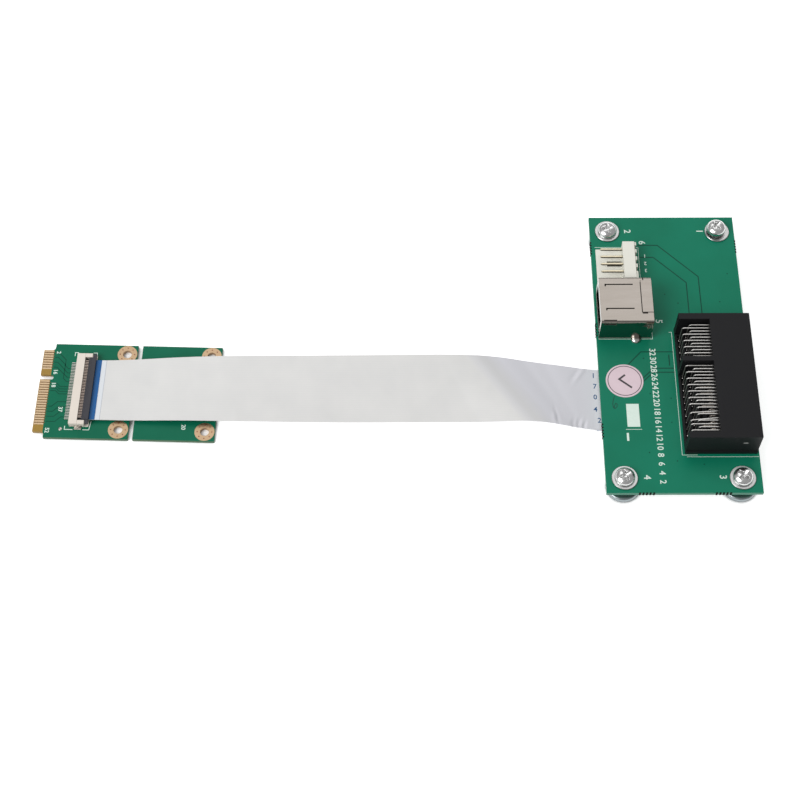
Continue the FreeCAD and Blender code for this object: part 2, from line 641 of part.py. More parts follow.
def slot_lead_guide():
    """Plates on the board in the two lead bays, with a slot for each row of down legs."""
    plates = []
    rows = (UPPER_LONG_DROP, UPPER_SHORT_DROP, LOWER_LONG_DROP, LOWER_SHORT_DROP)
    level = (BOARD_TOP, BOARD_TOP + GUIDE_THICKNESS)
    for front, back, bank in zip(BAY_FRONTS, BAY_BACKS, BANKS):
        width = (front + GUIDE_PLAY, back - GUIDE_PLAY)
        plate = block((SLOT_LEFT, SLOT_BODY_LEFT - GUIDE_PLAY), width, level)
        row = (bank[0] - GUIDE_SLOT / 2, bank[1] + GUIDE_SLOT / 2)
        plates.append(plate.cut([block(around(SLOT_LEFT + drop, GUIDE_SLOT), row, level) for drop in rows]))
    return Part.makeCompound(plates)


# Power header on the board

def power_header_body():
    """Moulded tray under the pins with a lock window, a pin wall, and posts between the legs."""
    sides = around(HEADER_CENTRE, HEADER_LENGTH)
    wall_left = HEADER_LEFT + HEADER_TRAY
    wall_right = wall_left + HEADER_WALL
    post_right = wall_right + HEADER_POST
    top = BOARD_TOP + HEADER_WALL_HEIGHT
    post_top = top - HEADER_POST_BELOW
    tray_top = BOARD_TOP + HEADER_TRAY_THICKNESS
    body = side_profile([(HEADER_LEFT, BOARD_TOP), (post_right, BOARD_TOP), (post_right, post_top),
                         (wall_right, post_top), (wall_right, top), (wall_left, top), (wall_left, tray_top),
                         (HEADER_LEFT, tray_top)], sides)
    level = (BOARD_TOP, tray_top)
    lock = (wall_left - HEADER_LOCK_LENGTH, wall_left)
    cuts = [block(lock, around(HEADER_CENTRE + HEADER_LOCK_SHIFT, HEADER_LOCK_WIDTH), level)]
    hole = PIN_SIZE + 2 * PIN_FIT
    for y in PIN_PLACES:
        cuts.append(block((wall_left, wall_right), around(y, hole), around(BOARD_TOP + PIN_HEIGHT, hole)))
        cuts.append(block((wall_right, post_right), around(y, HEADER_NOTCH), (BOARD_TOP, top)))
    return body.cut(cuts)


def power_header_pins():
    """Square pins, bent down behind the wall and through the board."""
    half = PIN_SIZE / 2
    row = BOARD_TOP + PIN_HEIGHT
    bottom = FOOT_HEIGHT - LEAD_TAIL
    tip = HEADER_LEFT + PIN_TIP_INSET
    leg_left = PIN_LEG_X - half
    leg_right = PIN_LEG_X + half
    outline = [(tip, row - half), (leg_left, row - half), (leg_left, bottom), (leg_right, bottom),
               (leg_right, row), (PIN_LEG_X, row + half), (tip, row + half)]
    return Part.makeCompound([side_profile(outline, around(y, PIN_SIZE)) for y in PIN_PLACES])


# Shielded socket on the board

SHIELD_RIGHT = SHIELD_LEFT + SHIELD_DEPTH
SHIELD_TOP = BOARD_TOP + SHIELD_HEIGHT
SHIELD_MIDDLE = BOARD_TOP + SHIELD_HEIGHT / 2
CORE_LEFT = SHIELD_LEFT + CORE_FROM_MOUTH


def shield_shell():
    """Folded sheet box with a framed mouth, spring slits, a rear flap and a leg on each side."""
    outer = block((SHIELD_LEFT, SHIELD_RIGHT), SHIELD_SIDES, (BOARD_TOP, SHIELD_TOP))
    folds = [edge for edge in outer.Edges
             if abs(edge.CenterOfMass.z - SHIELD_TOP) < SAME_PLACE and edge.BoundBox.XLength > SHIELD_METAL]
    outer = outer.makeFillet(SHIELD_BEND, folds)
    inner = block((SHIELD_LEFT + SHIELD_METAL, SHIELD_RIGHT - SHIELD_METAL),
                  (SHIELD_SIDES[0] + SHIELD_METAL, SHIELD_SIDES[1] - SHIELD_METAL),
                  (BOARD_TOP + SHIELD_METAL, SHIELD_TOP - SHIELD_METAL))
    roof = (SHIELD_TOP - SHIELD_METAL, SHIELD_TOP)
    slit_left = SHIELD_LEFT + SHIELD_SLIT_FROM_MOUTH
    mouth = block((SHIELD_LEFT, SHIELD_LEFT + SHIELD_METAL), around(SHIELD_CENTRE, SHIELD_MOUTH_WIDTH),
                  around(SHIELD_MIDDLE, SHIELD_MOUTH_HEIGHT))
    cuts = [inner, mouth]
    roof_middle = SHIELD_CENTRE + SHIELD_ROOF_SHIFT
    for y in spread(2, SHIELD_SLIT_SPACING, roof_middle):
        cuts.append(block((slit_left, slit_left + SHIELD_SLIT_LENGTH), around(y, SHIELD_SLIT_WIDTH), roof))
        hook = (y - SHIELD_SLIT_HOOK, y + SHIELD_SLIT_WIDTH / 2)
        cuts.append(block((slit_left - SHIELD_SLIT_WIDTH, slit_left), hook, roof))
    slot_top = SHIELD_TOP - SHIELD_SIDE_SLOT_BELOW
    slot_level = (slot_top - SHIELD_SIDE_SLOT_HEIGHT, slot_top)
    slot_left = SHIELD_LEFT + SHIELD_SIDE_SLOT_INSET
    cuts.append(block((slot_left, slot_left + SHIELD_SIDE_SLOT_LENGTH), SHIELD_SIDES, slot_level))
    lock_right = SHIELD_RIGHT - SHIELD_LOCK_INSET
    for i in range(SHIELD_LOCK_COUNT):
        lock_top = SHIELD_TOP - SHIELD_LOCK_BELOW - i * SHIELD_LOCK_PITCH
        cuts.append(block((lock_right - SHIELD_LOCK_LENGTH, lock_right), SHIELD_SIDES,
                          (lock_top - SHIELD_LOCK_HEIGHT, lock_top)))
    shell = outer.cut(cuts)
    flap = block((SHIELD_RIGHT - SHIELD_FLAP_DEPTH, SHIELD_RIGHT), around(roof_middle, SHIELD_FLAP_WIDTH),
                 (SHIELD_TOP, SHIELD_TOP + SHIELD_FLAP_METAL))
    leg_level = (FOOT_HEIGHT - LEAD_TAIL, BOARD_TOP + SHIELD_METAL)
    legs = [block(*shield_leg(side, 0), leg_level) for side in (0, 1)]
    return shell.fuse([flap] + legs).removeSplitter()


def shield_core():
    """Moulded insulator: a block at the back and a contact tongue towards the mouth."""
    gap = SHIELD_METAL + CORE_PLAY
    back = block((CORE_LEFT, SHIELD_RIGHT - gap), (SHIELD_SIDES[0] + gap, SHIELD_SIDES[1] - gap),
                 (BOARD_TOP + SHIELD_METAL, SHIELD_TOP - gap))
    tongue = block((SHIELD_LEFT + TONGUE_PLATE_INSET, CORE_LEFT), around(SHIELD_CENTRE, TONGUE_PLATE_WIDTH),
                   around(SHIELD_MIDDLE, TONGUE_PLATE_THICKNESS))
    return back.fuse(tongue).removeSplitter()


def shield_contacts():
    """Flat contacts on both faces of the tongue."""
    long = (SHIELD_LEFT + TONGUE_PLATE_INSET + BLADE_INSET, CORE_LEFT)
    upper = SHIELD_MIDDLE + TONGUE_PLATE_THICKNESS / 2
    lower = SHIELD_MIDDLE - TONGUE_PLATE_THICKNESS / 2
    faces = ((upper, upper + BLADE_METAL), (lower - BLADE_METAL, lower))
    rows = spread(BLADE_COUNT, BLADE_PITCH, SHIELD_CENTRE)
    return Part.makeCompound([block(long, around(y, BLADE_WIDTH), z) for z in faces for y in rows])


def round_label():
    return drum(LABEL_DIAMETER, LABEL_X, LABEL_Y, (BOARD_TOP, BOARD_TOP + LABEL_THICKNESS))


# The sockets stand on top of the card and hang under the board.
# The card and cable turn about the point where the cable passes the board's left edge.
TURN = FreeCAD.Rotation(point(0, 0, 1), CARD_TURN)
PIVOT = point(CARD_TO_BOARD, CARD_SOCKET_CENTRE)
CARD_PLACE = FreeCAD.Placement(point(0, BOARD_SOCKET_CENTRE, PLATING) - TURN.multVec(PIVOT), TURN)
SOCKET_SPOT = point(CARD_SOCKET_MOUTH, CARD_SOCKET_CENTRE, CARD_THICKNESS)
ON_CARD = CARD_PLACE * FreeCAD.Placement(SOCKET_SPOT, FreeCAD.Rotation())
UNDER_BOARD = FreeCAD.Placement(point(BOARD_SOCKET_INSET, BOARD_SOCKET_CENTRE, FOOT_HEIGHT),
                                FreeCAD.Rotation(point(0, 1, 0), 180))
ON_BOARD = FreeCAD.Placement()

CABLE_NODES = {
    "flat_cable": (flat_cable(), CARD_PLACE),
    "card_end_stiffener": (card_end_stiffener(), CARD_PLACE),
    "board_end_stiffener": (board_end_stiffener(), CARD_PLACE),
}

SOLID_NODES = {
    "card_board": (card_board(), CARD_PLACE),
    "card_edge_contacts": (card_edge_contacts(), CARD_PLACE),
    "card_socket_housing": (socket_housing(), ON_CARD),
    "card_socket_contacts": (socket_contacts(), ON_CARD),
    "card_socket_latch": (socket_latch(), ON_CARD),
    "card_socket_tabs": (socket_tabs(), ON_CARD),
    "board_socket_housing": (socket_housing(), UNDER_BOARD),
    "board_socket_contacts": (socket_contacts(), UNDER_BOARD),
    "board_socket_latch": (socket_latch(), UNDER_BOARD),
    "board_socket_tabs": (socket_tabs(), UNDER_BOARD),
    "main_board": (main_board(), ON_BOARD),
    "corner_feet": (corner_feet(), ON_BOARD),
    "corner_washers": (corner_washers(), ON_BOARD),
    "corner_screws": (corner_screws(), ON_BOARD),
    "slot_housing": (slot_housing(), ON_BOARD),
    "slot_upper_leads": (slot_contacts(1, UPPER_LONG_DROP, UPPER_SHORT_DROP), ON_BOARD),
    "slot_lower_leads": (slot_contacts(-1, LOWER_LONG_DROP, LOWER_SHORT_DROP), ON_BOARD),
    "slot_lead_guide": (slot_lead_guide(), ON_BOARD),
    "power_header_body": (power_header_body(), ON_BOARD),
    "power_header_pins": (power_header_pins(), ON_BOARD),
    "shield_shell": (shield_shell(), ON_BOARD),
    "shield_core": (shield_core(), ON_BOARD),
    "shield_contacts": (shield_contacts(), ON_BOARD),
    "round_label": (round_label(), ON_BOARD),
}


def placed(nodes):
    return {name: shape.transformed(place.toMatrix()) for name, (shape, place) in nodes.items()}


# The origin is the middle of the footprint of everything but the cable, on the table.
solids = placed(SOLID_NODES)
footprint = Part.makeCompound(list(solids.values())).BoundBox
shift = point(-footprint.Center.x, -footprint.Center.y, -footprint.ZMin)
solids.update(placed(CABLE_NODES))

os.makedirs("parts", exist_ok=True)
for name, shape in solids.items():
    shape.translated(shift).exportStep(f"parts/{name}.step")
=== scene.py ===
"""Looks of a small-card to card-slot adapter: two circuit boards joined by a flat cable."""
import json
import math

import bmesh
import bpy
import numpy as np
from mathutils import Matrix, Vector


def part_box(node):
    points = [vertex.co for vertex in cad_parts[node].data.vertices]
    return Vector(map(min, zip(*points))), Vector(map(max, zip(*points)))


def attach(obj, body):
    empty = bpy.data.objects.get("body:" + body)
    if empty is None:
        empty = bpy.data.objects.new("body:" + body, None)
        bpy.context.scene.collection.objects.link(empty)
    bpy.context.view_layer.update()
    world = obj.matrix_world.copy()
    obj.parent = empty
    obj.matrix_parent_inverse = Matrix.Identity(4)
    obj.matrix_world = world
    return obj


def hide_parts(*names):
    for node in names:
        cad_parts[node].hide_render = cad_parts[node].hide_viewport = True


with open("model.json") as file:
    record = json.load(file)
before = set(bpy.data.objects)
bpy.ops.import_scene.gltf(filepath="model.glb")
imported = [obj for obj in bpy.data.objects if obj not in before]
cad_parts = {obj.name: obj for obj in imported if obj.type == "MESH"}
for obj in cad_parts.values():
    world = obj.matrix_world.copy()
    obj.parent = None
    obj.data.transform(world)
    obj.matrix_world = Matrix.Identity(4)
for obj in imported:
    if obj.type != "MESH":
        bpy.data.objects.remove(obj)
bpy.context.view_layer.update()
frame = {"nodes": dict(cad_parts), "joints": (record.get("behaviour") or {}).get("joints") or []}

MM = 0.001
UP = np.array([0.0, 0.0, 1.0])
BACKWARDS = np.array([0.0, 1.0, 0.0])

# Camera, fitted to the photograph: place in metres, then turn, downward angle and roll in degrees
CAMERA_SPOT = (0.00432, -0.2329, 0.4060)
CAMERA_TURN = 0.547
CAMERA_DOWN = 61.56
CAMERA_ROLL = 0.61
FOCAL_PIXELS = 1639.84
PICTURE_PIXELS = 800
SENSOR = 36.0

# Small card, in millimetres from its contact end and its near edge
HINGE_FROM_END = 13.9
HINGE_FROM_EDGE = 14.8
CARD_THICKNESS = 1.0
TONGUE_LENGTH = 3.2
MASK_LAP = 0.3
FINGER_PITCH = 0.8
FINGER_GAP = 0.24
FINGER_INSET = 0.15
FINGER_FIRST = 27.55
FINGERS_BEFORE_KEY = 8
FINGERS_AFTER_KEY = 18
FINGER_KEY_GAP = 4.15
CARD_HOLES = [(23.9, 2.9), (23.9, 27.1), (48.05, 2.9), (48.05, 27.1)]
RING_OUTER = 2.8
RING_BORE = 1.3
RING_DOTS = 8
RING_DOT_PLACE = 2.05
TEST_POINT_SPOT = (7.75, 2.75, 0.0)
# Where the socket's contacts turn from tin to bare metal, and its stiffener from blue to painted shade
# under the bar
BARE_REACH = (11.0, 12.3)
SHADED_REACH = (13.9, 13.4)
# Fans of tracks from contacts to socket: the first track's points, and each point's step to the next track
FAN_TRACKS = 4
FANS = [([(3.4, 27.2), (4.3, 27.2), (6.6, 24.9), (6.6, 23.0), (7.6, 22.0), (8.4, 22.0)],
         [(0, -1.6)] * 3 + [(0, -1.4)] * 3),
        ([(3.4, 17.2), (4.9, 17.2), (5.9, 16.2), (8.4, 16.2)], [(0, -0.8)]),
        ([(3.4, 9.8), (4.4, 9.8), (5.9, 11.3), (8.4, 11.3)],
         [(0, -1.6), (0.5, -1.6), (0.5, -1.6), (0, -1.6)])]
CARD_TRACKS = [np.array(first) + i * np.array(step) for first, step in FANS for i in range(FAN_TRACKS)]

# Slot board and its parts, in millimetres from its front left corner and up from its top face
BOARD_THICKNESS = 1.2
FOOT_RADIUS = 4.7
FOOT_STEM = 3.2
FOOT_DISC = 1.8
FOOT_FLOOR = 0.8
# Rolled rims of a foot's disc: inset from its radius, and up from its bottom or down from its top
FOOT_LOWER_RIM = [(0.35, 0.0), (0.1, 0.1), (0.0, 0.35)]
FOOT_UPPER_RIM = [(0.0, 0.45), (0.12, 0.18), (0.4, 0.0)]
SCREW_RADIUS = 1.35
SCREW_LENGTH = 5.2
THREAD_PITCH = 0.5
THREAD_DEPTH = 0.12
HEAD_RADIUS = 2.75
HEAD_RIM = 0.4
HEAD_SOFT = 0.12
HEAD_HEIGHT = 2.0
CROSS_REACH = 1.75
CROSS_HALF_WIDTH = 0.42
CROSS_DEPTH = 1.25
CROSS_WALL = 0.16
CROSS_FALL = 1.6
CROSS_TURNS = (22.0, 50.0, 12.0, 33.0)
WASHER_OUTER = 3.55
WASHER_BORE = 1.7
WASHER_THICKNESS = 0.5
WASHER_SOFT = 0.12
# The loose screw's lift and its tilt in degrees, and how far its washer has slipped
LOOSE_LIFT = 1.0
LOOSE_TILT = -5.0
LOOSE_SLIP = (0.25, -0.1, 0.0)
# Rows of a screw's head and shank, and steps round the turned shapes
HEAD_ROWS = 46
SHANK_ROWS = 64
SCREW_SEGMENTS = 112
ROUND_SEGMENTS = 72
RING_SEGMENTS = 64
LABEL_SEGMENTS = 96

# Leads of the card slot
SLOT_LEFT = 22.0
SLOT_BODY_LEFT = 30.55
LEAD_FIRST = 14.95
LEAD_PITCH = 1.0
LEADS_FRONT = 21
LEADS_BACK = 11
LEAD_BANK_GAP = 3.0
LEAD_WIDTH = 0.34
LEAD_METAL = 0.25
LEAD_CORNER = 0.05
LEAD_BEND = 0.55
LEAD_TAIL = 2.1
SLOT_AXIS = 5.4
LEAD_ROW = 2.5
SPRING_START = 33.15
SPRING_END = 39.15
SPRING_TIP = 1.03
UPPER_DROPS = (23.0, 25.0)
LOWER_DROPS = (27.2, 29.2)
# Upper leads pushed aside at their bend, by number from the front
PUSHED_LEADS = {4: -1.0, 6: -0.7, 2: -0.15, 9: 0.15}
# Lead guide: its top, its web's thickness, and how far that web stays off the slot or passes the leads
GUIDE_TOP = 1.4
GUIDE_WEB = 0.5
WEB_LEFT = 0.5
WEB_RIGHT = 0.7
WEB_PAST = 0.7
HIGHLIGHT_ASIDE = 0.3
# Worn spot where the slot's moulding was cut from its runner: its place, and the share its height keeps
GATE_SPOT = (37.6, 11.95, 6.0)
GATE_SQUASH = 0.36
# Solder fillets: radius on the board, radius at the top, and height
LEAD_FILLET = (0.42, 0.2, 0.75)
PIN_FILLET = (0.8, 0.36, 0.85)

# Pins and lock window of the power header, with a dark sheet of painted shade laid on the board in the
# window
PIN_COUNT = 4
PIN_MIDDLE = 72.55
PIN_PITCH = 2.5
PIN_PLACES = [PIN_MIDDLE + PIN_PITCH * (i - (PIN_COUNT - 1) / 2) for i in range(PIN_COUNT)]
PIN_SIZE = 0.64
PIN_CORNER = 0.12
PIN_HEIGHT = 3.2
PIN_TIP = 2.2
PIN_LEG = 12.45
PIN_BEND = 0.5
PIN_POINT = 0.5
PIN_POINT_SHARE = 0.45
LOCK_WINDOW = [(4.4, 73.05), (8.65, 73.05)]
LOCK_WIDTH = 1.8

# Shielded socket: its roof and near wall, gaps with their widths and folds, drawn as painted shade, and a
# drop of solder
SHIELD_ROOF = 8.9
SHIELD_NEAR = 48.3
SHIELD_GAPS = [
    ([(12.08, 51.4), (12.08, 61.6)], 0.16), ([(12.2, 51.3), (13.7, 51.3)], 0.4),
    ([(12.1, 61.95), (12.95, 61.95)], 0.3), ([(12.95, 61.8), (12.95, 63.0)], 0.3),
    ([(1.25, 48.95), (4.9, 48.95)], 0.3)]
SHIELD_FOLDS = [
    [(13.1, 8.55), (15.2, 8.55)], [(13.1, 8.1), (15.2, 8.1)], [(13.9, 6.9), (13.9, 5.9), (14.5, 5.9)]]
DROP_SPOT = (11.1, 48.0, 0.0)

# Bites left on the slot board's edges, filled with painted shade: middles of the rows on its front, left
# and right edge
BITE_ROWS = [
    ("front", 10.9), ("front", 31.6), ("left", 19.0), ("left", 51.2), ("left", 78.9), ("right", 79.4)]
BITE_COUNT = 5
BITE_PITCH = 0.95
BITE_HALF_WIDTH = 0.28
BITE_DEPTH = 0.33
BITE_STUB = 0.14
BITE_TOP = 0.01
BITE_COVER = 0.02

# Contact tips of the cable sockets: row, size, top, reach from a mouth, and the two mouths
TIP_COUNT = 37
TIP_PITCH = 0.5
TIP_WIDTH = 0.21
TIP_HEIGHT = 0.27
TIP_TOP = 1.6
TIP_REACH = (-3.6, -2.45)
CARD_MOUTH = (16.0, HINGE_FROM_EDGE)
BOARD_MOUTH = (-0.2, 29.7)

# Low domes: radius, height, rows, and steps round
RING_DOT = (0.2, 0.03, 3, 10)
TEST_POINT = (0.55, 0.15, 6, 24)
LEAD_FOOT_HIGHLIGHT = (0.2, 0.16, 4, 10)
GATE_MARK = (0.75, 0.05, 4, 20)
SOLDER_DROP = (1.45, 0.95, 9, 32)
VIA = (0.2, 0.04, 3, 10)

# Printed and plated layers
INK = 0.03
INK_LINE = 0.13
INK_BOLD = 0.03
FONT_SHARE = 0.7
TRACE = 0.02
TRACE_LINE = 0.3
FINE_LINE = 0.2
PLATING = 0.05
LABEL_SPOT = (7.05, 34.55)
LABEL_RADIUS = 5.25
LABEL_THICKNESS = 0.1
LABEL_SOFT = 0.04
LABEL_RING = (4.55, 4.75)
LABEL_TICK = [(-1.9, 0.2), (-0.5, -1.5), (2.2, 1.9)]
TICK_LINE = 0.55
# Printed lines: width, then the paths drawn with it
CARD_LINES = [(FINE_LINE, [
    [(8.9, 3.7), (8.9, 2.6), (11.2, 2.6)], [(14.0, 2.6), (15.75, 2.6), (16.1, 5.4)],
    [(9.0, 26.2), (9.0, 27.3), (10.0, 27.3)], [(14.2, 27.3), (15.3, 27.3), (15.3, 26.0)]])]
BOARD_LINES = [
    (INK_LINE, [
        [(13.8, 79.15), (1.2, 79.15)], [(13.8, 79.15), (13.8, 68.5)],
        [(0.7, 49.5), (0.7, 48.1), (9.7, 48.1)], [(12.6, 48.1), (15.85, 48.1), (15.85, 51.5)],
        [(20.6, 50.3), (21.35, 50.3), (21.25, 11.4), (25.5, 11.4)], [(22.5, 10.85), (42.1, 10.85)],
        [(6.45, 19.3), (10.85, 19.3)]]),
    (3.5, [[(8.7, 20.1), (8.7, 27.25)]]), (0.6, [[(6.85, 15.75), (6.85, 18.2)]])]
# Printed numbers: height, turn in degrees, then each number with its spot
CARD_NUMBERS = [(1.15, -90, [
    ("2", (4.2, 27.2)), ("16", (4.05, 20.9)), ("18", (4.05, 16.7)), ("52", (4.05, 2.2)),
    ("37", (6.95, 8.9)), ("20", (42.0, 4.2))])]
BOARD_NUMBERS = [
    (1.9, -90, [("2", (11.0, 84.8)), ("1", (32.2, 84.8)), ("4", (11.2, 4.7)), ("3", (31.7, 4.7)),
                ("6", (15.0, 80.8)), ("5", (18.0, 53.9))]),
    (1.1, 180, [("1", (15.6, 76.2)), ("2", (15.6, 73.6)), ("3", (15.6, 71.2))]),
    (1.7, -90, [(str(32 - 2 * i), (15.4, 43.8 - 2.7 * i)) for i in range(16)])]
# Tracks of the slot board, the covered holes where they change sides, and a pen stroke
BOARD_TRACKS = [
    [(13.64, 79.88), (19.48, 79.88), (30.53, 69.0), (30.6, 51.0)],
    [(14.22, 75.69), (18.0, 75.69), (26.9, 67.0), (26.9, 51.0)],
    [(8.4, 39.8), (12.2, 43.9), (21.3, 43.9)], [(12.1, 35.3), (15.5, 38.6), (21.2, 38.6)],
    [(12.3, 34.4), (15.3, 37.3), (21.2, 37.3)], [(20.0, 43.0), (20.0, 39.4)]]
BOARD_VIAS = [(x, y, 0.0) for x, y in (
    (12.8, 41.8), (13.9, 30.5), (19.6, 29.0), (19.2, 21.5), (12.4, 12.2), (19.8, 9.6), (27.0, 8.6),
    (33.5, 56.5), (36.0, 60.5), (20.4, 63.0), (24.0, 60.0), (39.0, 70.0))]
PEN_STROKE = [
    (3.9, 29.71), (3.54, 28.53), (3.28, 27.21), (3.4, 26.17), (3.88, 25.77), (4.45, 26.42),
    (4.5, 27.21), (4.13, 27.47), (3.79, 26.82), (3.57, 25.9)]

# Flat cable: control points along the card from its contact end and up from its underside, in metres
CABLE_ROUTE = [
    (0.0123, 0.0020), (0.0230, 0.0020), (0.0450, 0.0046), (0.0850, 0.00605), (0.1120, 0.00795),
    (0.1270, 0.0084), (0.1405, 0.0076), (0.1552, 0.0035), (0.1584, 0.00335), (0.1617, 0.00335)]
# How far its far edge is turned up, in degrees, at distances along the card in millimetres
CABLE_ROLL = [
    (12.3, 0.0), (20.0, 0.3), (34.6, 5.2), (53.0, 11.4), (86.0, 17.8), (108.0, 19.3),
    (116.0, 18.4), (124.0, 14.6), (130.0, 7.4), (136.0, -0.8), (142.0, -3.6), (149.0, -1.8),
    (157.8, 0.0), (161.7, 0.0)]
CABLE_WIDTH = 19.0
CABLE_THICKNESS = 0.2
# Even rows for its roll, rows of the film before and after they lie close, columns, and its fold
CABLE_ROWS = 450
CABLE_COARSE_ROWS = 250
CABLE_FINE_ROWS = 260
CABLE_FINE_FROM = 127.0
CABLE_COLUMNS = 40
CABLE_SOFTEN = 8
CABLE_FOLD = 133.0
CABLE_FOLD_REACH = 18.0
CABLE_FOLD_LEAN = 7.5
CABLE_STIFFENERS = ["card_end_stiffener", "board_end_stiffener"]
# Tints of the film: lean along for each step across, where painted shade turns it bluer past the fold
# and darker on it, and the ends of the strip by the stiffener with their colours
CABLE_SHADE_LEAN = 0.85
CABLE_PAST_FOLD_SHADE = (123.5, 129.5)
CABLE_FOLD_SHADE = [(124.0, 127.5), (133.5, 128.8)]
CABLE_STRIPS = [(6.35, "#b0b5bd"), (6.2, "#d9dde2")]
CONDUCTOR_PITCH = 0.5
# Soft dents: along the cable, across it, half lengths both ways, height, and lean as above
CABLE_DENTS = [
    (132.9, 1.4, 0.38, 1.6, 0.20, 0.0), (133.8, 1.6, 0.40, 1.8, -0.14, 0.0),
    (133.2, 4.2, 0.40, 1.4, -0.08, 0.0),
    (138.3, 0.9, 0.42, 1.3, -0.30, 0.35), (139.9, 1.1, 0.45, 1.4, -0.32, 0.35),
    (141.6, 0.8, 0.42, 1.3, -0.28, 0.35), (140.6, 16.8, 0.6, 2.4, 0.18, 0.64),
    (139.2, 16.8, 0.6, 2.2, -0.14, 0.64), (14.6, 7.9, 0.9, 0.7, 0.08, 0.3),
    (30.8, 11.0, 0.8, 4.0, 0.05, -0.3), (44.5, 1.8, 0.8, 2.2, 0.07, 0.0)]
# Plain numbers printed on it: along the cable, across it
CABLE_NUMBERS = [
    ("1", (144.6, 17.2)), ("7", (144.9, 13.6)), ("0", (145.0, 10.2)), ("4", (145.0, 6.5)),
    ("2", (146.0, 3.1))]
CABLE_NUMBER_HEIGHT = 1.5

# Merging distances in metres, and the angles in degrees at which an edge counts as flat or as sharp
WELD = 1e-7
CAD_WELD = 1e-6
FLAT_EDGE = 0.5
CAD_SHARP_EDGE = 30.0
SHARP_EDGE = 35.0
ROUND_SHARP_EDGE = 40.0
WIRE_SHARP_EDGE = 50.0


# Places

def corners(node):
    """Lowest and highest corner of a CAD piece in millimetres."""
    return [np.array(corner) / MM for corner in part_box(node)]


board_low, board_high = corners("main_board")
card_high = corners("card_board")[1]
feet_low, feet_high = corners("corner_feet")
hinge = next(joint for joint in frame["joints"] if joint["name"] == "card_latch_flip")
ACROSS = -np.array(hinge["axis"])
ALONG = np.cross(ACROSS, UP)
card_corner = np.array(hinge["pos_m"]) / MM - HINGE_FROM_END * ALONG - HINGE_FROM_EDGE * ACROSS
CARD = (np.array([*card_corner[:2], card_high[2]]), np.array([ALONG, ACROSS, UP]))
BOARD = (np.array([*board_low[:2], board_high[2]]), np.eye(3))
UNDER = (board_low, np.diag([-1.0, 1.0, -1.0]))
SCREW_SPOTS = [np.array([x, y, 0.0]) - BOARD[0] * (1, 1, 0)
               for y in (feet_low[1] + FOOT_RADIUS, feet_high[1] - FOOT_RADIUS)
               for x in (feet_low[0] + FOOT_RADIUS, feet_high[0] - FOOT_RADIUS)]
LEAD_PLACES = [LEAD_FIRST + LEAD_PITCH * i for i in range(LEADS_FRONT)]
LEAD_PLACES += [LEAD_PLACES[-1] + LEAD_BANK_GAP + LEAD_PITCH * i for i in range(LEADS_BACK)]
UPPER_SPOTS, LOWER_SPOTS = ([(drops[i % 2], y) for i, y in enumerate(LEAD_PLACES)]
                            for drops in (UPPER_DROPS, LOWER_DROPS))
# Painted highlights on the lead guide: bright tin domes at the foot of each upper lead
LEAD_FOOT_HIGHLIGHT_SPOTS = [(x, y - HIGHLIGHT_ASIDE, GUIDE_TOP) for x, y in UPPER_SPOTS]


# Shapes: each is an array of points in millimetres and a list of faces

def unit(vectors):
    """The vectors along the last axis, brought to length one."""
    return vectors / np.linalg.norm(vectors, axis=-1, keepdims=True)


def grid(points, wrap=False, caps=False):
    """Quads between neighbouring rows and columns. Wrap joins the last column to the first, and caps
    close both ends."""
    rows, columns = points.shape[:2]
    index = np.arange(rows * columns).reshape(rows, columns)
    loop = np.hstack([index, index[:, :1]]) if wrap else index
    quads = np.stack([loop[:-1, :-1], loop[:-1, 1:], loop[1:, 1:], loop[1:, :-1]], axis=-1)
    faces = quads.reshape(-1, 4).tolist()
    if caps:
        faces += [index[0, ::-1].tolist(), index[-1].tolist()]
    return points.reshape(-1, 3), faces


def turned(outline, segments):
    """Surface of revolution: radius and height of the outline, carried round a full turn.
    A radius may itself change round the turn."""
    angle = np.linspace(0, math.tau, segments, endpoint=False)
    radius = np.stack([np.broadcast_to(r, segments) for r, _ in outline])
    height = np.stack([np.full(segments, h) for _, h in outline])
    return grid(np.stack([radius * np.cos(angle), radius * np.sin(angle), height], axis=-1), wrap=True)


def carried(profile, path, flat):
    """Profile carried along a path in one plane: its first offset lies across the path, stretched at
    corners by one over the cosine of half the turn, and its second along the plane's normal."""
    steps = unit(np.diff(path, axis=0))
    after = np.vstack([steps, steps[-1:]])
    tangent = unit(np.vstack([steps[:1], steps]) + after)
    side = np.cross(flat, tangent) / np.sum(tangent * after, axis=1, keepdims=True)
    points = path[:, None] + profile[None, :, :1] * side[:, None] + profile[None, :, 1:] * flat
    return grid(points, wrap=True, caps=True)


def rounded_box_profile(width, height, corner):
    """Rectangle about the middle with its four corners cut at 45 degrees."""
    x, y = width / 2, height / 2
    return np.array([(x - corner, -y), (x, corner - y), (x, y - corner), (x - corner, y),
                     (corner - x, y), (-x, y - corner), (-x, corner - y), (corner - x, -y)])


def printed(path, width, height=INK):
    """Printed line: a flat rectangle carried along a path on the board's face."""
    half = width / 2
    profile = np.array([(-half, 0), (half, 0), (half, height), (-half, height)])
    flat_path = np.column_stack([np.array(path, float), np.zeros(len(path))])
    return carried(profile, flat_path, UP)


def digits(text, height, spot, turn):
    """Plain numbers as a thin slab: the font's own outlines, turned by degrees and set down at a spot."""
    curve = bpy.data.curves.new("digits", "FONT")
    curve.body = text
    curve.size = height / FONT_SHARE
    curve.offset = INK_BOLD
    curve.extrude = INK / 2
    curve.resolution_u = 3
    curve.align_x = curve.align_y = "CENTER"
    points, faces = read_mesh(curve)
    return moved((points + (0, 0, INK / 2), faces), (*spot, 0), turn)


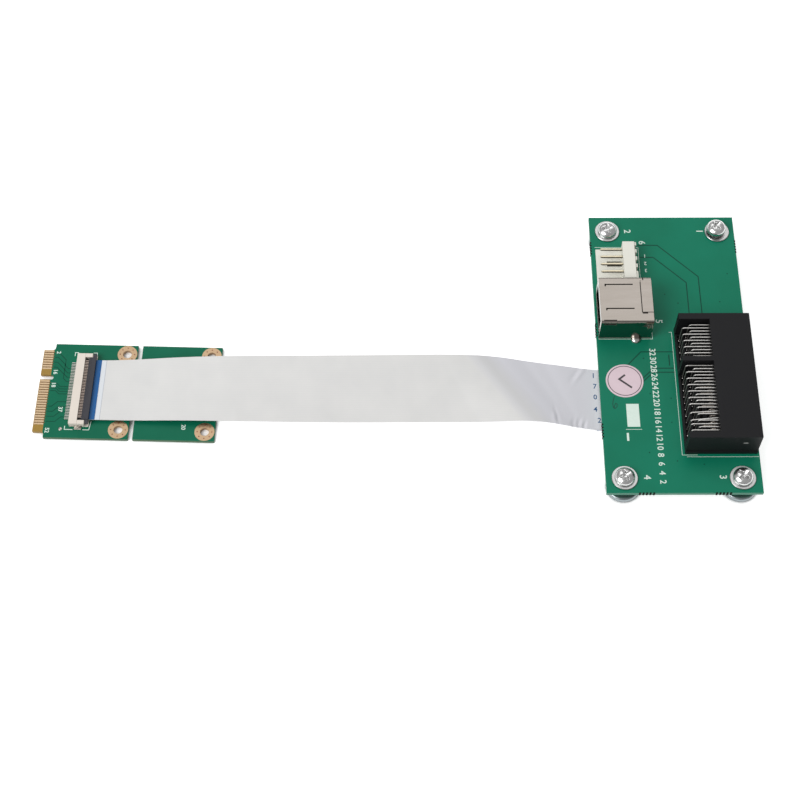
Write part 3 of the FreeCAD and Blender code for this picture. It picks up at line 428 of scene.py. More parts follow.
def read_mesh(curve):
    """Points and faces of a curve or text, which is then removed."""
    holder = bpy.data.objects.new(curve.name, curve)
    mesh = bpy.data.meshes.new_from_object(holder)
    points = np.empty(len(mesh.vertices) * 3)
    mesh.vertices.foreach_get("co", points)
    faces = [list(face.vertices) for face in mesh.polygons]
    bpy.data.objects.remove(holder)
    bpy.data.curves.remove(curve)
    bpy.data.meshes.remove(mesh)
    return points.reshape(-1, 3), faces


def moved(solid, offset, turn=0.0):
    """The shape turned about Z by degrees, then shifted."""
    points, faces = solid
    c, s = math.cos(math.radians(turn)), math.sin(math.radians(turn))
    return points @ np.array([(c, s, 0), (-s, c, 0), (0, 0, 1)]) + np.array(offset, float), faces


def joined(solids):
    """Several shapes as one: points stacked, face numbers moved on."""
    starts = np.cumsum([0] + [len(points) for points, _ in solids])
    faces = [[i + start for i in face] for (_, own), start in zip(solids, starts) for face in own]
    return np.vstack([points for points, _ in solids]), faces


def dome(radius, height, rows, segments):
    """Low dome: a quarter of an ellipse turned about its axis, closed below."""
    angle = np.linspace(0, math.pi / 2, rows)
    outline = np.column_stack([radius * np.cos(angle), height * np.sin(angle)])
    return turned([(0, 0), *outline], segments)


def cone(radius, tip, height, segments=16):
    """Solder fillet: a closed cone with hollow sides, r = tip + (radius - tip) (1 - h) squared."""
    rise = np.linspace(0, 1, 6)
    outline = np.column_stack([tip + (radius - tip) * (1 - rise) ** 2, height * rise])
    return turned([(0, 0), *outline, (0, height)], segments)


# Pieces

def shaded(mesh, angle):
    """Smooth shading, with edges sharper than the angle kept."""
    mesh.shade_smooth()
    mesh.set_sharp_from_angle(angle=math.radians(angle))


def linked(name, data):
    """New object of that data in the scene."""
    made = bpy.data.objects.new(name, data)
    bpy.context.scene.collection.objects.link(made)
    return made


def dressed(mesh, material):
    """Gives the mesh that material alone."""
    mesh.materials.clear()
    mesh.materials.append(material)


def cleaned(mesh, weld, finish):
    """Merges points of the mesh that lie together, then takes one more step on it."""
    shell = bmesh.new()
    shell.from_mesh(mesh)
    bmesh.ops.remove_doubles(shell, verts=shell.verts, dist=weld)
    finish(shell)
    shell.to_mesh(mesh)
    shell.free()


def on_show(name, mesh, material, body, stands_for):
    """Object at the origin that rides on a body and stands for its CAD pieces."""
    dressed(mesh, material)
    made = linked(name, mesh)
    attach(made, body)
    if stands_for:
        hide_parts(*stands_for)
    return made


def piece(name, solids, material, place=BOARD, stands_for=(), smooth=SHARP_EDGE):
    """Mesh of several shapes from whole arrays, welded and turned outwards."""
    points, faces = joined(solids)
    origin, axes = place
    mesh = bpy.data.meshes.new(name)
    mesh.from_pydata((points @ axes + origin) * MM, [], faces)
    cleaned(mesh, WELD, lambda shell: bmesh.ops.recalc_face_normals(shell, faces=shell.faces))
    shaded(mesh, smooth)
    return on_show(name, mesh, material, "base", stands_for)


def softened(node, edge, material, body):
    """A CAD piece with its edges rounded: a copy, welded and cleared of flat edges, under a bevel."""
    mesh = frame["nodes"][node].data.copy()
    cleaned(mesh, CAD_WELD, lambda shell: bmesh.ops.dissolve_limit(
        shell, angle_limit=math.radians(FLAT_EDGE), verts=shell.verts, edges=shell.edges))
    shaded(mesh, CAD_SHARP_EDGE)
    made = on_show(node + "_soft", mesh, material, body, [node])
    bevel = made.modifiers.new("edges", "BEVEL")
    bevel.width = edge * MM
    bevel.segments = 2
    bevel.limit_method = "ANGLE"
    bevel.angle_limit = math.radians(CAD_SHARP_EDGE)
    bevel.harden_normals = True


def strokes(name, paths, width, material, place=BOARD, height=TRACE):
    """Thin lines of one width along several paths."""
    piece(name, [printed(path, width, height) for path in paths], material, place)


def domes(name, size, spots, material, place=BOARD):
    """Low domes of one size at several spots."""
    piece(name, [moved(dome(*size), spot) for spot in spots], material, place)


def legend(name, lines, numbers, ink, place):
    """Printed outlines, corners and a blank field, and plain numbers."""
    marks = [printed(path, width) for width, paths in lines for path in paths]
    marks += [digits(text, height, spot, turn) for height, turn, row in numbers for text, spot in row]
    piece(name, marks, ink, place)


# Materials

MASK_SHINE = 0.14
WEAVE = 0.9
# Stamped strip: how softly its plating gives way to its dark upright faces, partly bare cut metal and
# partly painted shade, and how metallic those faces look
SIDE_SHADE_BLEND = 0.3
SIDE_SHADE_METAL = 0.3


def linear(code):
    """sRGB hex to a linear colour."""
    part = np.array([int(code[i:i + 2], 16) for i in (1, 3, 5)]) / 255
    return (*np.where(part <= 0.04045, part / 12.92, ((part + 0.055) / 1.055) ** 2.4), 1.0)


def add(tree, kind, inputs=None, output=0, **settings):
    """Adds one node with its settings; inputs are values or sockets to link. Gives one of its outputs."""
    made = tree.nodes.new("ShaderNode" + kind)
    for name, value in settings.items():
        setattr(made, name, value)
    for name, value in (inputs or {}).items():
        if isinstance(value, bpy.types.NodeSocket):
            tree.links.new(value, made.inputs[name])
        else:
            made.inputs[name].default_value = value
    return made.outputs[output] if len(made.outputs) else made


def blank(name):
    """New material and its empty node tree."""
    made = bpy.data.materials.new(name)
    made.use_nodes = True
    made.node_tree.nodes.clear()
    return made, made.node_tree


def surfaced(made, colour, roughness, bump=None, metal=0.0, shine=0.5):
    """Ends a material with one Principled surface of these values and links."""
    tree = made.node_tree
    inputs = {"Base Color": colour, "Roughness": roughness, "Metallic": metal, "Specular IOR Level": shine}
    if bump is not None:
        inputs["Normal"] = bump
    add(tree, "OutputMaterial", {"Surface": add(tree, "BsdfPrincipled", inputs)})
    return made


def started(name):
    """New material, its tree, and the place in the object that its patterns are read at."""
    made, tree = blank(name)
    return made, tree, add(tree, "TexCoord", output="Object")


def mixed(tree, share, first, second):
    """Mix of two colours, each given as a hex code or a socket."""
    first, second = (linear(colour) if isinstance(colour, str) else colour for colour in (first, second))
    return add(tree, "MixRGB", {"Fac": share, "Color1": first, "Color2": second})


def noise(tree, spot, cell, detail, roughness=0.5):
    """Cloudy pattern whose cells measure that many millimetres."""
    return add(tree, "TexNoise", {"Vector": spot, "Scale": 1 / (cell * MM), "Detail": detail,
                                  "Roughness": roughness})


def ramp(tree, value, low=0.0, high=1.0, start=0.0, end=1.0):
    """Value between start and end carried over to between low and high, and held at both."""
    return add(tree, "MapRange", {"Value": value, "From Min": start, "From Max": end,
                                  "To Min": low, "To Max": high})


def reckon(tree, operation, *values):
    """One step of arithmetic on values and sockets."""
    return add(tree, "Math", dict(enumerate(values)), operation=operation)


def relief(tree, height, strength, depth=0.01):
    """Small bumps of a depth in millimetres."""
    return add(tree, "Bump", {"Height": height, "Strength": strength, "Distance": depth * MM})


def levelness(tree):
    """How far a face looks up or down: nothing for an upright face, one for a level face."""
    facing = add(tree, "SeparateXYZ", {"Vector": add(tree, "NewGeometry", output="Normal")}, output="Z")
    return reckon(tree, "ABSOLUTE", facing)


def from_card_end(tree, spot):
    """Distance along the card from its contact end, in millimetres."""
    reach = add(tree, "VectorMath", {0: spot, 1: ALONG / MM}, output="Value", operation="DOT_PRODUCT")
    return reckon(tree, "SUBTRACT", reach, float(CARD[0] @ ALONG))


def solder_mask(name, dark, light, edge_dark, edge_light, bare_tongue):
    """Green solder mask on glass laminate: glossy epoxy, a shade lighter over copper, with a faint weave.
    Cut edges show the bare laminate, and the card's contact tongue its olive brown resin."""
    made, tree, spot = started(name)
    green = mixed(tree, noise(tree, spot, 14.0, 3.0), dark, light)
    weave = add(tree, "TexChecker", {"Vector": spot, "Scale": 1 / (WEAVE * MM)}, output="Fac")
    grain = noise(tree, spot, 0.35, 2.0)
    upright = reckon(tree, "LESS_THAN", levelness(tree), 0.5)
    colour = mixed(tree, upright, green, mixed(tree, grain, edge_dark, edge_light))
    if bare_tongue:
        tongue = reckon(tree, "LESS_THAN", from_card_end(tree, spot), TONGUE_LENGTH - MASK_LAP)
        colour = mixed(tree, tongue, colour, mixed(tree, grain, "#8e6f34", "#ab8c48"))
    bump = relief(tree, mixed(tree, 0.5, weave, grain), 0.12)
    return surfaced(made, colour, ramp(tree, grain, 0.30, 0.46), bump, shine=MASK_SHINE)


def trace_mask():
    """Solder mask beside copper tracks: the same epoxy, darker where no copper lies under it."""
    made, tree, spot = started("trace_mask")
    colour = mixed(tree, noise(tree, spot, 2.0, 2.0), "#04402c", "#075040")
    return surfaced(made, colour, 0.38, shine=MASK_SHINE)


def plated(name, dark, light, roughness, cell, streak=1.0, stamped=None):
    """Plated metal: a bright skin whose tone and gloss drift in patches, drawn out along X by the streak.
    Stamped strip is given a dark colour, and how level a face must be to keep its plating: more upright
    faces take the dark colour, partly bare cut metal and partly painted shade."""
    made, tree, spot = started(name)
    drawn = add(tree, "Mapping", {"Vector": spot, "Scale": (1 / streak, 1.0, 1.0)})
    patch = noise(tree, drawn, cell, 4.0, 0.6)
    colour = mixed(tree, patch, dark, light)
    metal = 1.0
    if stamped:
        bare, level = stamped
        # Upright faces take the dark colour: partly bare sheared metal, partly painted shade
        cut = ramp(tree, levelness(tree), start=level + SIDE_SHADE_BLEND, end=level)
        colour = mixed(tree, cut, colour, bare)
        metal = ramp(tree, cut, 1.0, SIDE_SHADE_METAL)
    rough = ramp(tree, patch, roughness * 0.75, roughness * 1.35)
    return surfaced(made, colour, rough, relief(tree, patch, 0.1), metal)


def moulded(name, dark, light, roughness, cell, shine=0.5):
    """Moulded plastic: a fine spark-eroded grain and faint cloudy flow marks."""
    made, tree, spot = started(name)
    flow = noise(tree, spot, cell, 3.0)
    rough = ramp(tree, flow, roughness * 0.85, roughness * 1.15)
    grit = relief(tree, noise(tree, spot, 0.18, 2.0), 0.2)
    return surfaced(made, mixed(tree, flow, dark, light), rough, grit, shine=shine)


def contact_metal():
    """Phosphor bronze springs: tinned grey at the solder tails, bare brown at the tips by the latch."""
    made, tree, spot = started("contact_metal")
    bare = ramp(tree, from_card_end(tree, spot), 0.0, 1.0, *BARE_REACH)
    patch = noise(tree, spot, 0.8, 3.0)
    grey = mixed(tree, patch, "#a39f9a", "#d8d4ce")
    brown = mixed(tree, patch, "#85776e", "#cdbdb2")
    return surfaced(made, mixed(tree, bare, grey, brown), ramp(tree, patch, 0.28, 0.5), metal=1.0)


def stiffener_film():
    """Blue polyester film, with painted shade where it runs in under the socket's bar and contact tips."""
    made, tree, spot = started("blue_polyester_film")
    under_bar_shade = ramp(tree, from_card_end(tree, spot), 0.0, 1.0, *SHADED_REACH)
    film = mixed(tree, noise(tree, spot, 3.0, 3.0), "#06508c", "#0d5e9e")
    return surfaced(made, mixed(tree, under_bar_shade, film, "#141213"), 0.35, shine=0.3)


def polyester_film():
    """White polyester film over flat conductors: satin, with a faint stripe at each conductor.
    Painted shade makes it a little bluer past the fold and darker along it. It is bluer in a strip
    beside the stiffener, which ends in a thin line."""
    made, tree = blank("polyester_film")
    run = add(tree, "UVMap", uv_map="run")
    along, across = (add(tree, "SeparateXYZ", {"Vector": run}, output=axis) for axis in "XY")
    stripe = reckon(tree, "SINE", reckon(tree, "MULTIPLY", across, math.tau / CONDUCTOR_PITCH))
    faint = ramp(tree, stripe, 0.0, 0.2, start=-1.0)
    soft = add(tree, "TexNoise", {"Vector": run, "Scale": 0.12, "Detail": 3.0})
    colour = mixed(tree, reckon(tree, "ADD", faint, soft), "#dfdedc", "#d2d2d1")
    slanted = reckon(tree, "MULTIPLY_ADD", across, CABLE_SHADE_LEAN, along)
    # Painted shade: bluer past the fold
    colour = mixed(tree, ramp(tree, slanted, 0.0, 1.0, *CABLE_PAST_FOLD_SHADE), colour, "#dadae0")
    # Painted shade: a darker band along the fold
    folded = reckon(tree, "MULTIPLY", *(ramp(tree, slanted, 0.0, 1.0, *part) for part in CABLE_FOLD_SHADE))
    colour = mixed(tree, folded, colour, "#cececf")
    for end, tint in CABLE_STRIPS:
        colour = mixed(tree, reckon(tree, "LESS_THAN", along, end), colour, tint)
    bump = relief(tree, mixed(tree, 0.4, soft, faint), 0.25, 0.05)
    return surfaced(made, colour, 0.42, bump, shine=0.4)


def floor_white():
    """Plain white floor that keeps the shadow: its own diffuse light, topped up for what the lens sees,
    but faded by ambient occlusion down in narrow holes and slots, which paints shade there."""
    made, tree = blank("floor_white")
    seen = 0.0
    for ray in ("Is Camera Ray", "Is Glossy Ray", "Is Transmission Ray"):
        seen = reckon(tree, "MAXIMUM", seen, add(tree, "LightPath", output=ray))
    open_sky = add(tree, "AmbientOcclusion", {"Distance": FLOOR_SLOT * MM}, output="AO")
    top_up = reckon(tree, "MULTIPLY", seen, ramp(tree, open_sky, 0.0, FLOOR_TOP_UP, *FLOOR_OPEN))
    glow = add(tree, "Emission", {"Strength": top_up})
    matt = add(tree, "BsdfDiffuse", {"Color": linear("#f2f2f2")})
    add(tree, "OutputMaterial", {"Surface": add(tree, "AddShader", {0: matt, 1: glow})})
    return made


# Light and camera

# Floor: strength of its top-up, reach in millimetres and openness that bring it in, and size in metres
FLOOR_TOP_UP = 0.62
FLOOR_SLOT = 3.0
FLOOR_OPEN = (0.5, 0.8)
FLOOR_SIZE = 60.0
WORLD_STRENGTH = 0.36
# Lamps: name, place and size in metres, and power in watts
LAMPS = [("key", (-0.60, -0.40, 0.70), 0.6, 6.6), ("back", (0.0, 0.45, 0.78), 0.8, 2.5)]


def studio():
    """White floor, even sky, and soft square lamps at the front left and above the back."""
    half = FLOOR_SIZE / 2
    mesh = bpy.data.meshes.new("floor")
    mesh.from_pydata([(-half, -half, 0), (half, -half, 0), (half, half, 0), (-half, half, 0)], [],
                     [(0, 1, 2, 3)])
    dressed(mesh, floor_white())
    floor = linked("floor", mesh)
    world = bpy.data.worlds.new("sky")
    world.use_nodes = True
    sky = world.node_tree.nodes["Background"]
    sky.inputs["Color"].default_value = linear("#ffffff")
    sky.inputs["Strength"].default_value = WORLD_STRENGTH
    bpy.context.scene.world = world
    for name, spot, size, power in LAMPS:
        lamp = bpy.data.lights.new(name, "AREA")
        lamp.size = size
        lamp.energy = power
        holder = linked(name, lamp)
        holder.location = spot
        holder.rotation_euler = (-holder.location).to_track_quat("-Z", "Y").to_euler()


def camera():
    """Camera at the photograph's viewing angle: from straight down, rolled, raised, turned and moved."""
    lens = bpy.data.cameras.new("camera")
    lens.sensor_width = SENSOR
    lens.lens = FOCAL_PIXELS / PICTURE_PIXELS * SENSOR
    holder = linked("camera", lens)
    place = Matrix.Translation(CAMERA_SPOT)
    for angle, axis in ((CAMERA_TURN, "Z"), (90 - CAMERA_DOWN, "X"), (-CAMERA_ROLL, "Z")):
        place = place @ Matrix.Rotation(math.radians(angle), 4, axis)
    holder.matrix_world = place
    bpy.context.scene.camera = holder
    bpy.context.scene.view_settings.view_transform = "Standard"


# Flat cable

def cable_line():
    """Middle line of the cable in millimetres, read from a smooth spline over the route's points."""
    along, height = np.array(CABLE_ROUTE).T / MM
    local = np.column_stack([along, np.full(len(along), HINGE_FROM_EDGE), height - CARD_THICKNESS])
    spots = (local @ CARD[1] + CARD[0]) * MM
    curve = bpy.data.curves.new("cable_line", "CURVE")
    curve.dimensions = "3D"
    curve.resolution_u = 48
    spline = curve.splines.new("NURBS")
    spline.points.add(len(spots) - 1)
    spline.points.foreach_set("co", np.column_stack([spots, np.ones(len(spots))]).ravel())
    spline.order_u = 3
    spline.use_endpoint_u = True
    return read_mesh(curve)[0] / MM


def at(places, run, values):
    """Values along a run, read at other places."""
    return np.column_stack([np.interp(places, run, column) for column in values.T])


def cable_print(film, normal, u, v, ink):
    """Plain numbers in a row across the film, each laid flat on it at its own place."""
    marks = []
    for text, (along, across) in CABLE_NUMBERS:
        row, column = np.unravel_index(np.argmin((u - along) ** 2 + (v - across) ** 2), u.shape)
        up = normal[row, column]
        heading = unit(film[row + 1, column] - film[row - 1, column])
        points, faces = digits(text, CABLE_NUMBER_HEIGHT, (0, 0), 0)
        axes = np.array([heading, np.cross(up, heading), up])
        marks.append((points @ axes + film[row, column] + up * CABLE_THICKNESS / 2, faces))
    return piece("cable_print", marks, ink, (np.zeros(3), np.eye(3)))


def flat_cable(material, ink):
    """Ruled ribbon between its two edges. Each edge stands half a width from the middle line, turned by
    the roll. Near the fold the rulings lean, because the film bends along a slanting line there."""
    line = cable_line()
    run = np.concatenate([[0], np.cumsum(np.linalg.norm(np.diff(line, axis=0), axis=1))])
    even = np.linspace(0, run[-1], CABLE_ROWS)
    roll = np.radians(np.interp((at(even, run, line) - CARD[0]) @ ALONG, *np.array(CABLE_ROLL).T))
    window = np.hanning(2 * CABLE_SOFTEN + 1)
    roll = np.convolve(np.pad(roll, CABLE_SOFTEN, mode="edge"), window / window.sum(), mode="valid")
    places = np.concatenate([np.linspace(0, CABLE_FINE_FROM, CABLE_COARSE_ROWS, endpoint=False),
                             np.linspace(CABLE_FINE_FROM, run[-1], CABLE_FINE_ROWS)])
    roll = np.interp(places, even, roll)
    middle = at(places, run, line)
    heading = unit(np.gradient(middle, axis=0))
    reach = (middle - CARD[0]) @ ALONG
    side = np.cos(roll)[:, None] * ACROSS + np.sin(roll)[:, None] * np.cross(heading, ACROSS)
    lean = CABLE_FOLD_LEAN * np.exp(-((reach - CABLE_FOLD) / CABLE_FOLD_REACH) ** 4)
    near = at(places + lean, places, middle - side * CABLE_WIDTH / 2)
    far = at(places - lean, places, middle + side * CABLE_WIDTH / 2)
    share = np.linspace(0, 1, CABLE_COLUMNS)[None, :, None]
    film = near[:, None] * (1 - share) + far[:, None] * share
    normal = unit(np.cross(np.gradient(film, axis=0), np.gradient(film, axis=1)))
    u = np.repeat(places[:, None], CABLE_COLUMNS, axis=1) + lean[:, None] * (1 - 2 * share[..., 0])
    v = np.repeat(share[..., 0] * CABLE_WIDTH, len(places), axis=0)
    dent = sum(h * np.exp(-((u - a - slope * (v - b)) / da) ** 2 - ((v - b) / db) ** 2)
               for a, b, da, db, h, slope in CABLE_DENTS)
    film = film + normal * dent[..., None]
    half = normal * CABLE_THICKNESS / 2
    skin = np.concatenate([film + half, (film - half)[:, ::-1]], axis=1)
    points, faces = grid(skin[:, ::-1], wrap=True, caps=True)
    mesh = bpy.data.meshes.new("flat_cable_film")
    mesh.from_pydata(points * MM, [], faces)
    both = np.stack([np.concatenate([part, part[:, ::-1]], axis=1) for part in (u, v)], axis=-1)
    corner = np.empty(len(mesh.loops), int)
    mesh.loops.foreach_get("vertex_index", corner)
    mesh.uv_layers.new(name="run").data.foreach_set("uv", both[:, ::-1].reshape(-1, 2)[corner].ravel())
    shaded(mesh, ROUND_SHARP_EDGE)
    made = on_show("flat_cable_film", mesh, material, "base", ["flat_cable"])
    cable_print(film, normal, u, v, ink)
    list(map(frame["nodes"].get, CABLE_STIFFENERS))


# Small card: plating and print

def card_rings(gold, brown):
    """Flat plated rings on both faces, joined through the hole, each with a circle of dots of painted
    shade.
    """
    under, low, bore = -CARD_THICKNESS, -CARD_THICKNESS - PLATING, RING_BORE - PLATING
    ring = turned([(bore, low), (RING_OUTER, low), (RING_OUTER, under), (RING_BORE, under), (RING_BORE, 0),
                   (RING_OUTER, 0), (RING_OUTER, PLATING), (bore, PLATING), (bore, low)],
                  RING_SEGMENTS)
    piece("card_rings", [moved(ring, (x, y, 0)) for x, y in CARD_HOLES], gold, CARD)
    angles = np.arange(RING_DOTS) * math.tau / RING_DOTS
    dots = [(x + RING_DOT_PLACE * math.cos(a), y + RING_DOT_PLACE * math.sin(a), PLATING)
            for x, y in CARD_HOLES for a in angles]
    domes("card_ring_dots", RING_DOT, dots, brown, CARD)


def finger_gaps(shadow):
    """Dark lines between neighbouring edge contacts, on the upper face: resin brown deepened with painted
    shade.
    """
    after_key = FINGER_FIRST - FINGER_PITCH * (FINGERS_BEFORE_KEY - 1) - FINGER_KEY_GAP
    gaps = []
    for first, count in ((FINGER_FIRST, FINGERS_BEFORE_KEY), (after_key, FINGERS_AFTER_KEY)):
        for i in range(count - 1):
            y = first - FINGER_PITCH * (i + 0.5)
            gaps.append([(FINGER_INSET, y), (TONGUE_LENGTH, y)])
    strokes("card_finger_gap_shade", gaps, FINGER_GAP, shadow, CARD)


def contact_tips(name, place, mouth, metal):
    """Row of flat tips that reach forward from under the socket's bar."""
    low, high = (mouth[0] + reach for reach in TIP_REACH)
    across = mouth[1] + TIP_PITCH * (np.arange(TIP_COUNT) - (TIP_COUNT - 1) / 2)
    tips = [moved(printed([(low, y), (high, y)], TIP_WIDTH, TIP_HEIGHT), (0, 0, TIP_TOP - TIP_HEIGHT))
            for y in across]
    piece(name, tips, metal, place)


# Slot board: fixings

def screw_head():
    """Pan head as a height over radius and angle: a rim, a crown that is half an ellipse across,
    and a cross recess that is deepest in the middle."""
    radius = np.linspace(0, HEAD_RADIUS, HEAD_ROWS)[:, None]
    angle = np.linspace(0, math.tau, SCREW_SEGMENTS, endpoint=False)[None, :]
    x, y = radius * np.cos(angle), radius * np.sin(angle)
    crown = HEAD_RIM + (HEAD_HEIGHT - HEAD_RIM) * np.sqrt(np.clip(1 - (radius / HEAD_RADIUS) ** 2, 0, 1))
    wall = np.maximum(CROSS_HALF_WIDTH - np.abs(x), CROSS_HALF_WIDTH - np.abs(y)) / CROSS_WALL
    slope = np.clip(1 - (radius / CROSS_REACH) ** CROSS_FALL, 0, 1)
    height = crown - CROSS_DEPTH * slope * np.clip(wall + 0.5, 0, 1)
    return grid(np.stack([x, y, np.broadcast_to(height, x.shape)], axis=-1), wrap=True)


def screw_shank():
    """Rim, flat underside and threaded shank: the thread's radius rises and falls once a pitch,
    and the thread climbs one pitch a turn."""
    share = np.linspace(0, 1, SCREW_SEGMENTS, endpoint=False)
    depth = np.linspace(0, SCREW_LENGTH, SHANK_ROWS)
    wave = np.abs(((depth[:, None] / THREAD_PITCH + share) % 1) * 2 - 1)
    rim = [(HEAD_RADIUS, HEAD_RIM), (HEAD_RADIUS, HEAD_SOFT), (HEAD_RADIUS - HEAD_SOFT, 0)]
    shank = zip(SCREW_RADIUS - THREAD_DEPTH * wave, -depth)
    return turned([*rim, *shank, (0, -SCREW_LENGTH)], SCREW_SEGMENTS)


def screws(zinc):
    """Three tight screws and the loose one, lifted and tilted about its hole."""
    solid = joined([screw_head(), screw_shank()])
    seat = np.array([0, 0, WASHER_THICKNESS])
    made = [moved(solid, spot + seat, turn) for spot, turn in zip(SCREW_SPOTS, CROSS_TURNS)]
    points, faces = moved(solid, seat + (0, 0, LOOSE_LIFT), CROSS_TURNS[-1])
    c, s = math.cos(math.radians(LOOSE_TILT)), math.sin(math.radians(LOOSE_TILT))
    made[-1] = (points @ np.array([(c, 0, -s), (0, 1, 0), (s, 0, c)]) + SCREW_SPOTS[-1], faces)
    piece("corner_screws_cut", made, zinc, stands_for=["corner_screws"],
          smooth=ROUND_SHARP_EDGE)


def washers(zinc):
    """Flat rings with rolled edges."""
    inner, outer, soft, top = WASHER_BORE, WASHER_OUTER, WASHER_SOFT, WASHER_THICKNESS
    ring = turned([(inner, soft), (inner + soft, 0), (outer - soft, 0), (outer, soft), (outer, top - soft),
                   (outer - soft, top), (inner + soft, top), (inner, top - soft), (inner, soft)],
                  ROUND_SEGMENTS)
    made = [moved(ring, spot) for spot in SCREW_SPOTS]
    made[-1] = moved(ring, SCREW_SPOTS[-1] + LOOSE_SLIP)
    piece("corner_washers_round", made, zinc, stands_for=["corner_washers"])


def feet(metal):
    """Feet: a disc with a rolled and chamfered rim, a six-sided stem and a blind bore."""
    angle = np.linspace(0, math.tau, ROUND_SEGMENTS, endpoint=False)
    stem = FOOT_STEM * math.cos(math.pi / 6) / np.cos(angle % (math.pi / 3) - math.pi / 6)
    base = feet_low[2] - BOARD[0][2]
    under = -BOARD_THICKNESS
    outline = [(0, 0), *((FOOT_RADIUS - inset, up) for inset, up in FOOT_LOWER_RIM),
               *((FOOT_RADIUS - inset, FOOT_DISC - down) for inset, down in FOOT_UPPER_RIM),
               (stem, FOOT_DISC)]
    outline = [(r, base + h) for r, h in outline]
    floor = base + FOOT_FLOOR
    outline += [(stem, under), (WASHER_BORE, under), (WASHER_BORE, floor), (0, floor)]
    made = [moved(turned(outline, ROUND_SEGMENTS), spot) for spot in SCREW_SPOTS]
    piece("corner_feet_turned", made, metal, stands_for=["corner_feet"])


# Slot board: leads and pins

def bent(path, corner, radius, steps=6):
    """The path with one corner rounded: points on the quarter circle that touches both runs."""
    before, spot, after = path[corner - 1:corner + 2]
    back, on = unit(before - spot), unit(after - spot)
    angle = np.linspace(0, math.pi / 2, steps)[:, None]
    arc = spot + radius * ((1 - np.sin(angle)) * back + (1 - np.cos(angle)) * on)
    return np.vstack([path[:corner], arc, path[corner + 1:]])


def slot_leads(node, spots, side, tin):
    """Leads with a round bend: rounded strip carried down the path, long and short in turn."""
    row = SLOT_AXIS + side * LEAD_ROW
    profile = rounded_box_profile(LEAD_METAL, LEAD_WIDTH, LEAD_CORNER)
    made = []
    for i, (drop, y) in enumerate(spots):
        path = np.array([(drop, 0, -LEAD_TAIL), (drop, 0, row), (SPRING_START, 0, row),
                         (SPRING_END, 0, SLOT_AXIS + side * SPRING_TIP)])
        points, faces = carried(profile, bent(path, 1, LEAD_BEND), BACKWARDS)
        out = np.clip((SLOT_BODY_LEFT - points[:, 0]) / (SLOT_BODY_LEFT - drop), 0, 1)
        up = np.clip(points[:, 2] / row, 0, 1)
        push = PUSHED_LEADS.get(i, 0.0) if side > 0 else 0.0
        points[:, 1] += y + push * out * up
        made.append((points, faces))
    piece(node + "_bent", made, tin, stands_for=[node], smooth=WIRE_SHARP_EDGE)


def header_pins(gold):
    """Square pins with a pointed tip and a round bend down into the board."""
    profile = rounded_box_profile(PIN_SIZE, PIN_SIZE, PIN_CORNER)
    path = np.array([(PIN_TIP, 0, PIN_HEIGHT), (PIN_TIP + PIN_POINT, 0, PIN_HEIGHT),
                     (PIN_LEG, 0, PIN_HEIGHT), (PIN_LEG, 0, -LEAD_TAIL)])
    points, faces = carried(profile, bent(path, 2, PIN_BEND), BACKWARDS)
    points[:len(profile)] = (points[:len(profile)] - path[0]) * PIN_POINT_SHARE + path[0]
    made = [moved((points, faces), (0, y, 0)) for y in PIN_PLACES]
    piece("power_header_pins_bent", made, gold, stands_for=["power_header_pins"])


def solder_joints(tin):
    """Hollow-sided solder cones under the board at every lead and pin."""
    pins = [(PIN_LEG, y) for y in PIN_PLACES]
    made = []
    for fillet, spots in ((LEAD_FILLET, UPPER_SPOTS + LOWER_SPOTS), (PIN_FILLET, pins)):
        points, faces = cone(*fillet)
        below = (points * (1, 1, -1) - (0, 0, BOARD_THICKNESS), faces)
        made += [moved(below, (*spot, 0)) for spot in spots]
    piece("solder_joints", made, tin)


# Slot board: marks

def bites(resin, mask):
    """Painted shade in the half holes where the board was broken from its panel: dark plugs standing a
    little proud.
    On the front edge solder mask runs over its inner half."""
    wide, deep = BITE_HALF_WIDTH, BITE_DEPTH
    plug = [(-wide / 2, -BITE_STUB), (wide / 2, -BITE_STUB), (wide, 0), (wide, deep / 2), (wide / 2, deep),
            (-wide / 2, deep), (-wide, deep / 2), (-wide, 0)]
    cover = [(-wide, deep / 2), (wide, deep / 2), (wide / 2, deep), (-wide / 2, deep)]
    size = board_high - board_low
    turns = {"front": (0.0, lambda t: (t, 0, 0)), "left": (-90.0, lambda t: (0, t, 0)),
             "right": (90.0, lambda t: (size[0], t, 0))}
    spots = BITE_PITCH * (np.arange(BITE_COUNT) - (BITE_COUNT - 1) / 2)
    # The plugs take the painted shade passed in as resin; the covers take the solder mask
    for name, outline, low, high, material in (("board_bites", plug, -BOARD_THICKNESS, BITE_TOP, resin),
                                               ("board_bite_covers", cover, 0.0, BITE_COVER, mask)):
        points = np.stack([np.column_stack([outline, np.full(len(outline), z)]) for z in (low, high)])
        solid = grid(points, wrap=True, caps=True)
        made = [moved(solid, turns[side][1](middle + spot), turns[side][0])
                for side, middle in BITE_ROWS for spot in spots if outline is plug or side == "front"]
        piece(name, made, material)


def guide_web(black):
    """Thin floor of the lead guide between its lead holes, one plate in each bay."""
    plates = []
    for bay in (LEAD_PLACES[:LEADS_FRONT], LEAD_PLACES[LEADS_FRONT:]):
        middle = (bay[0] + bay[-1]) / 2
        path = [(SLOT_LEFT + WEB_LEFT, middle), (SLOT_BODY_LEFT - WEB_RIGHT, middle)]
        plates.append(printed(path, bay[-1] - bay[0] + WEB_PAST, GUIDE_WEB))
    piece("slot_guide_web", plates, black)


def facing_front(solid, spot, squash=1.0):
    """A flat shape stood upright to face the front, its height squashed, and set down at a spot."""
    points, faces = solid
    return moved((points @ np.array([(1, 0, 0), (0, 0, squash), (0, -1, 0)]), faces), spot)


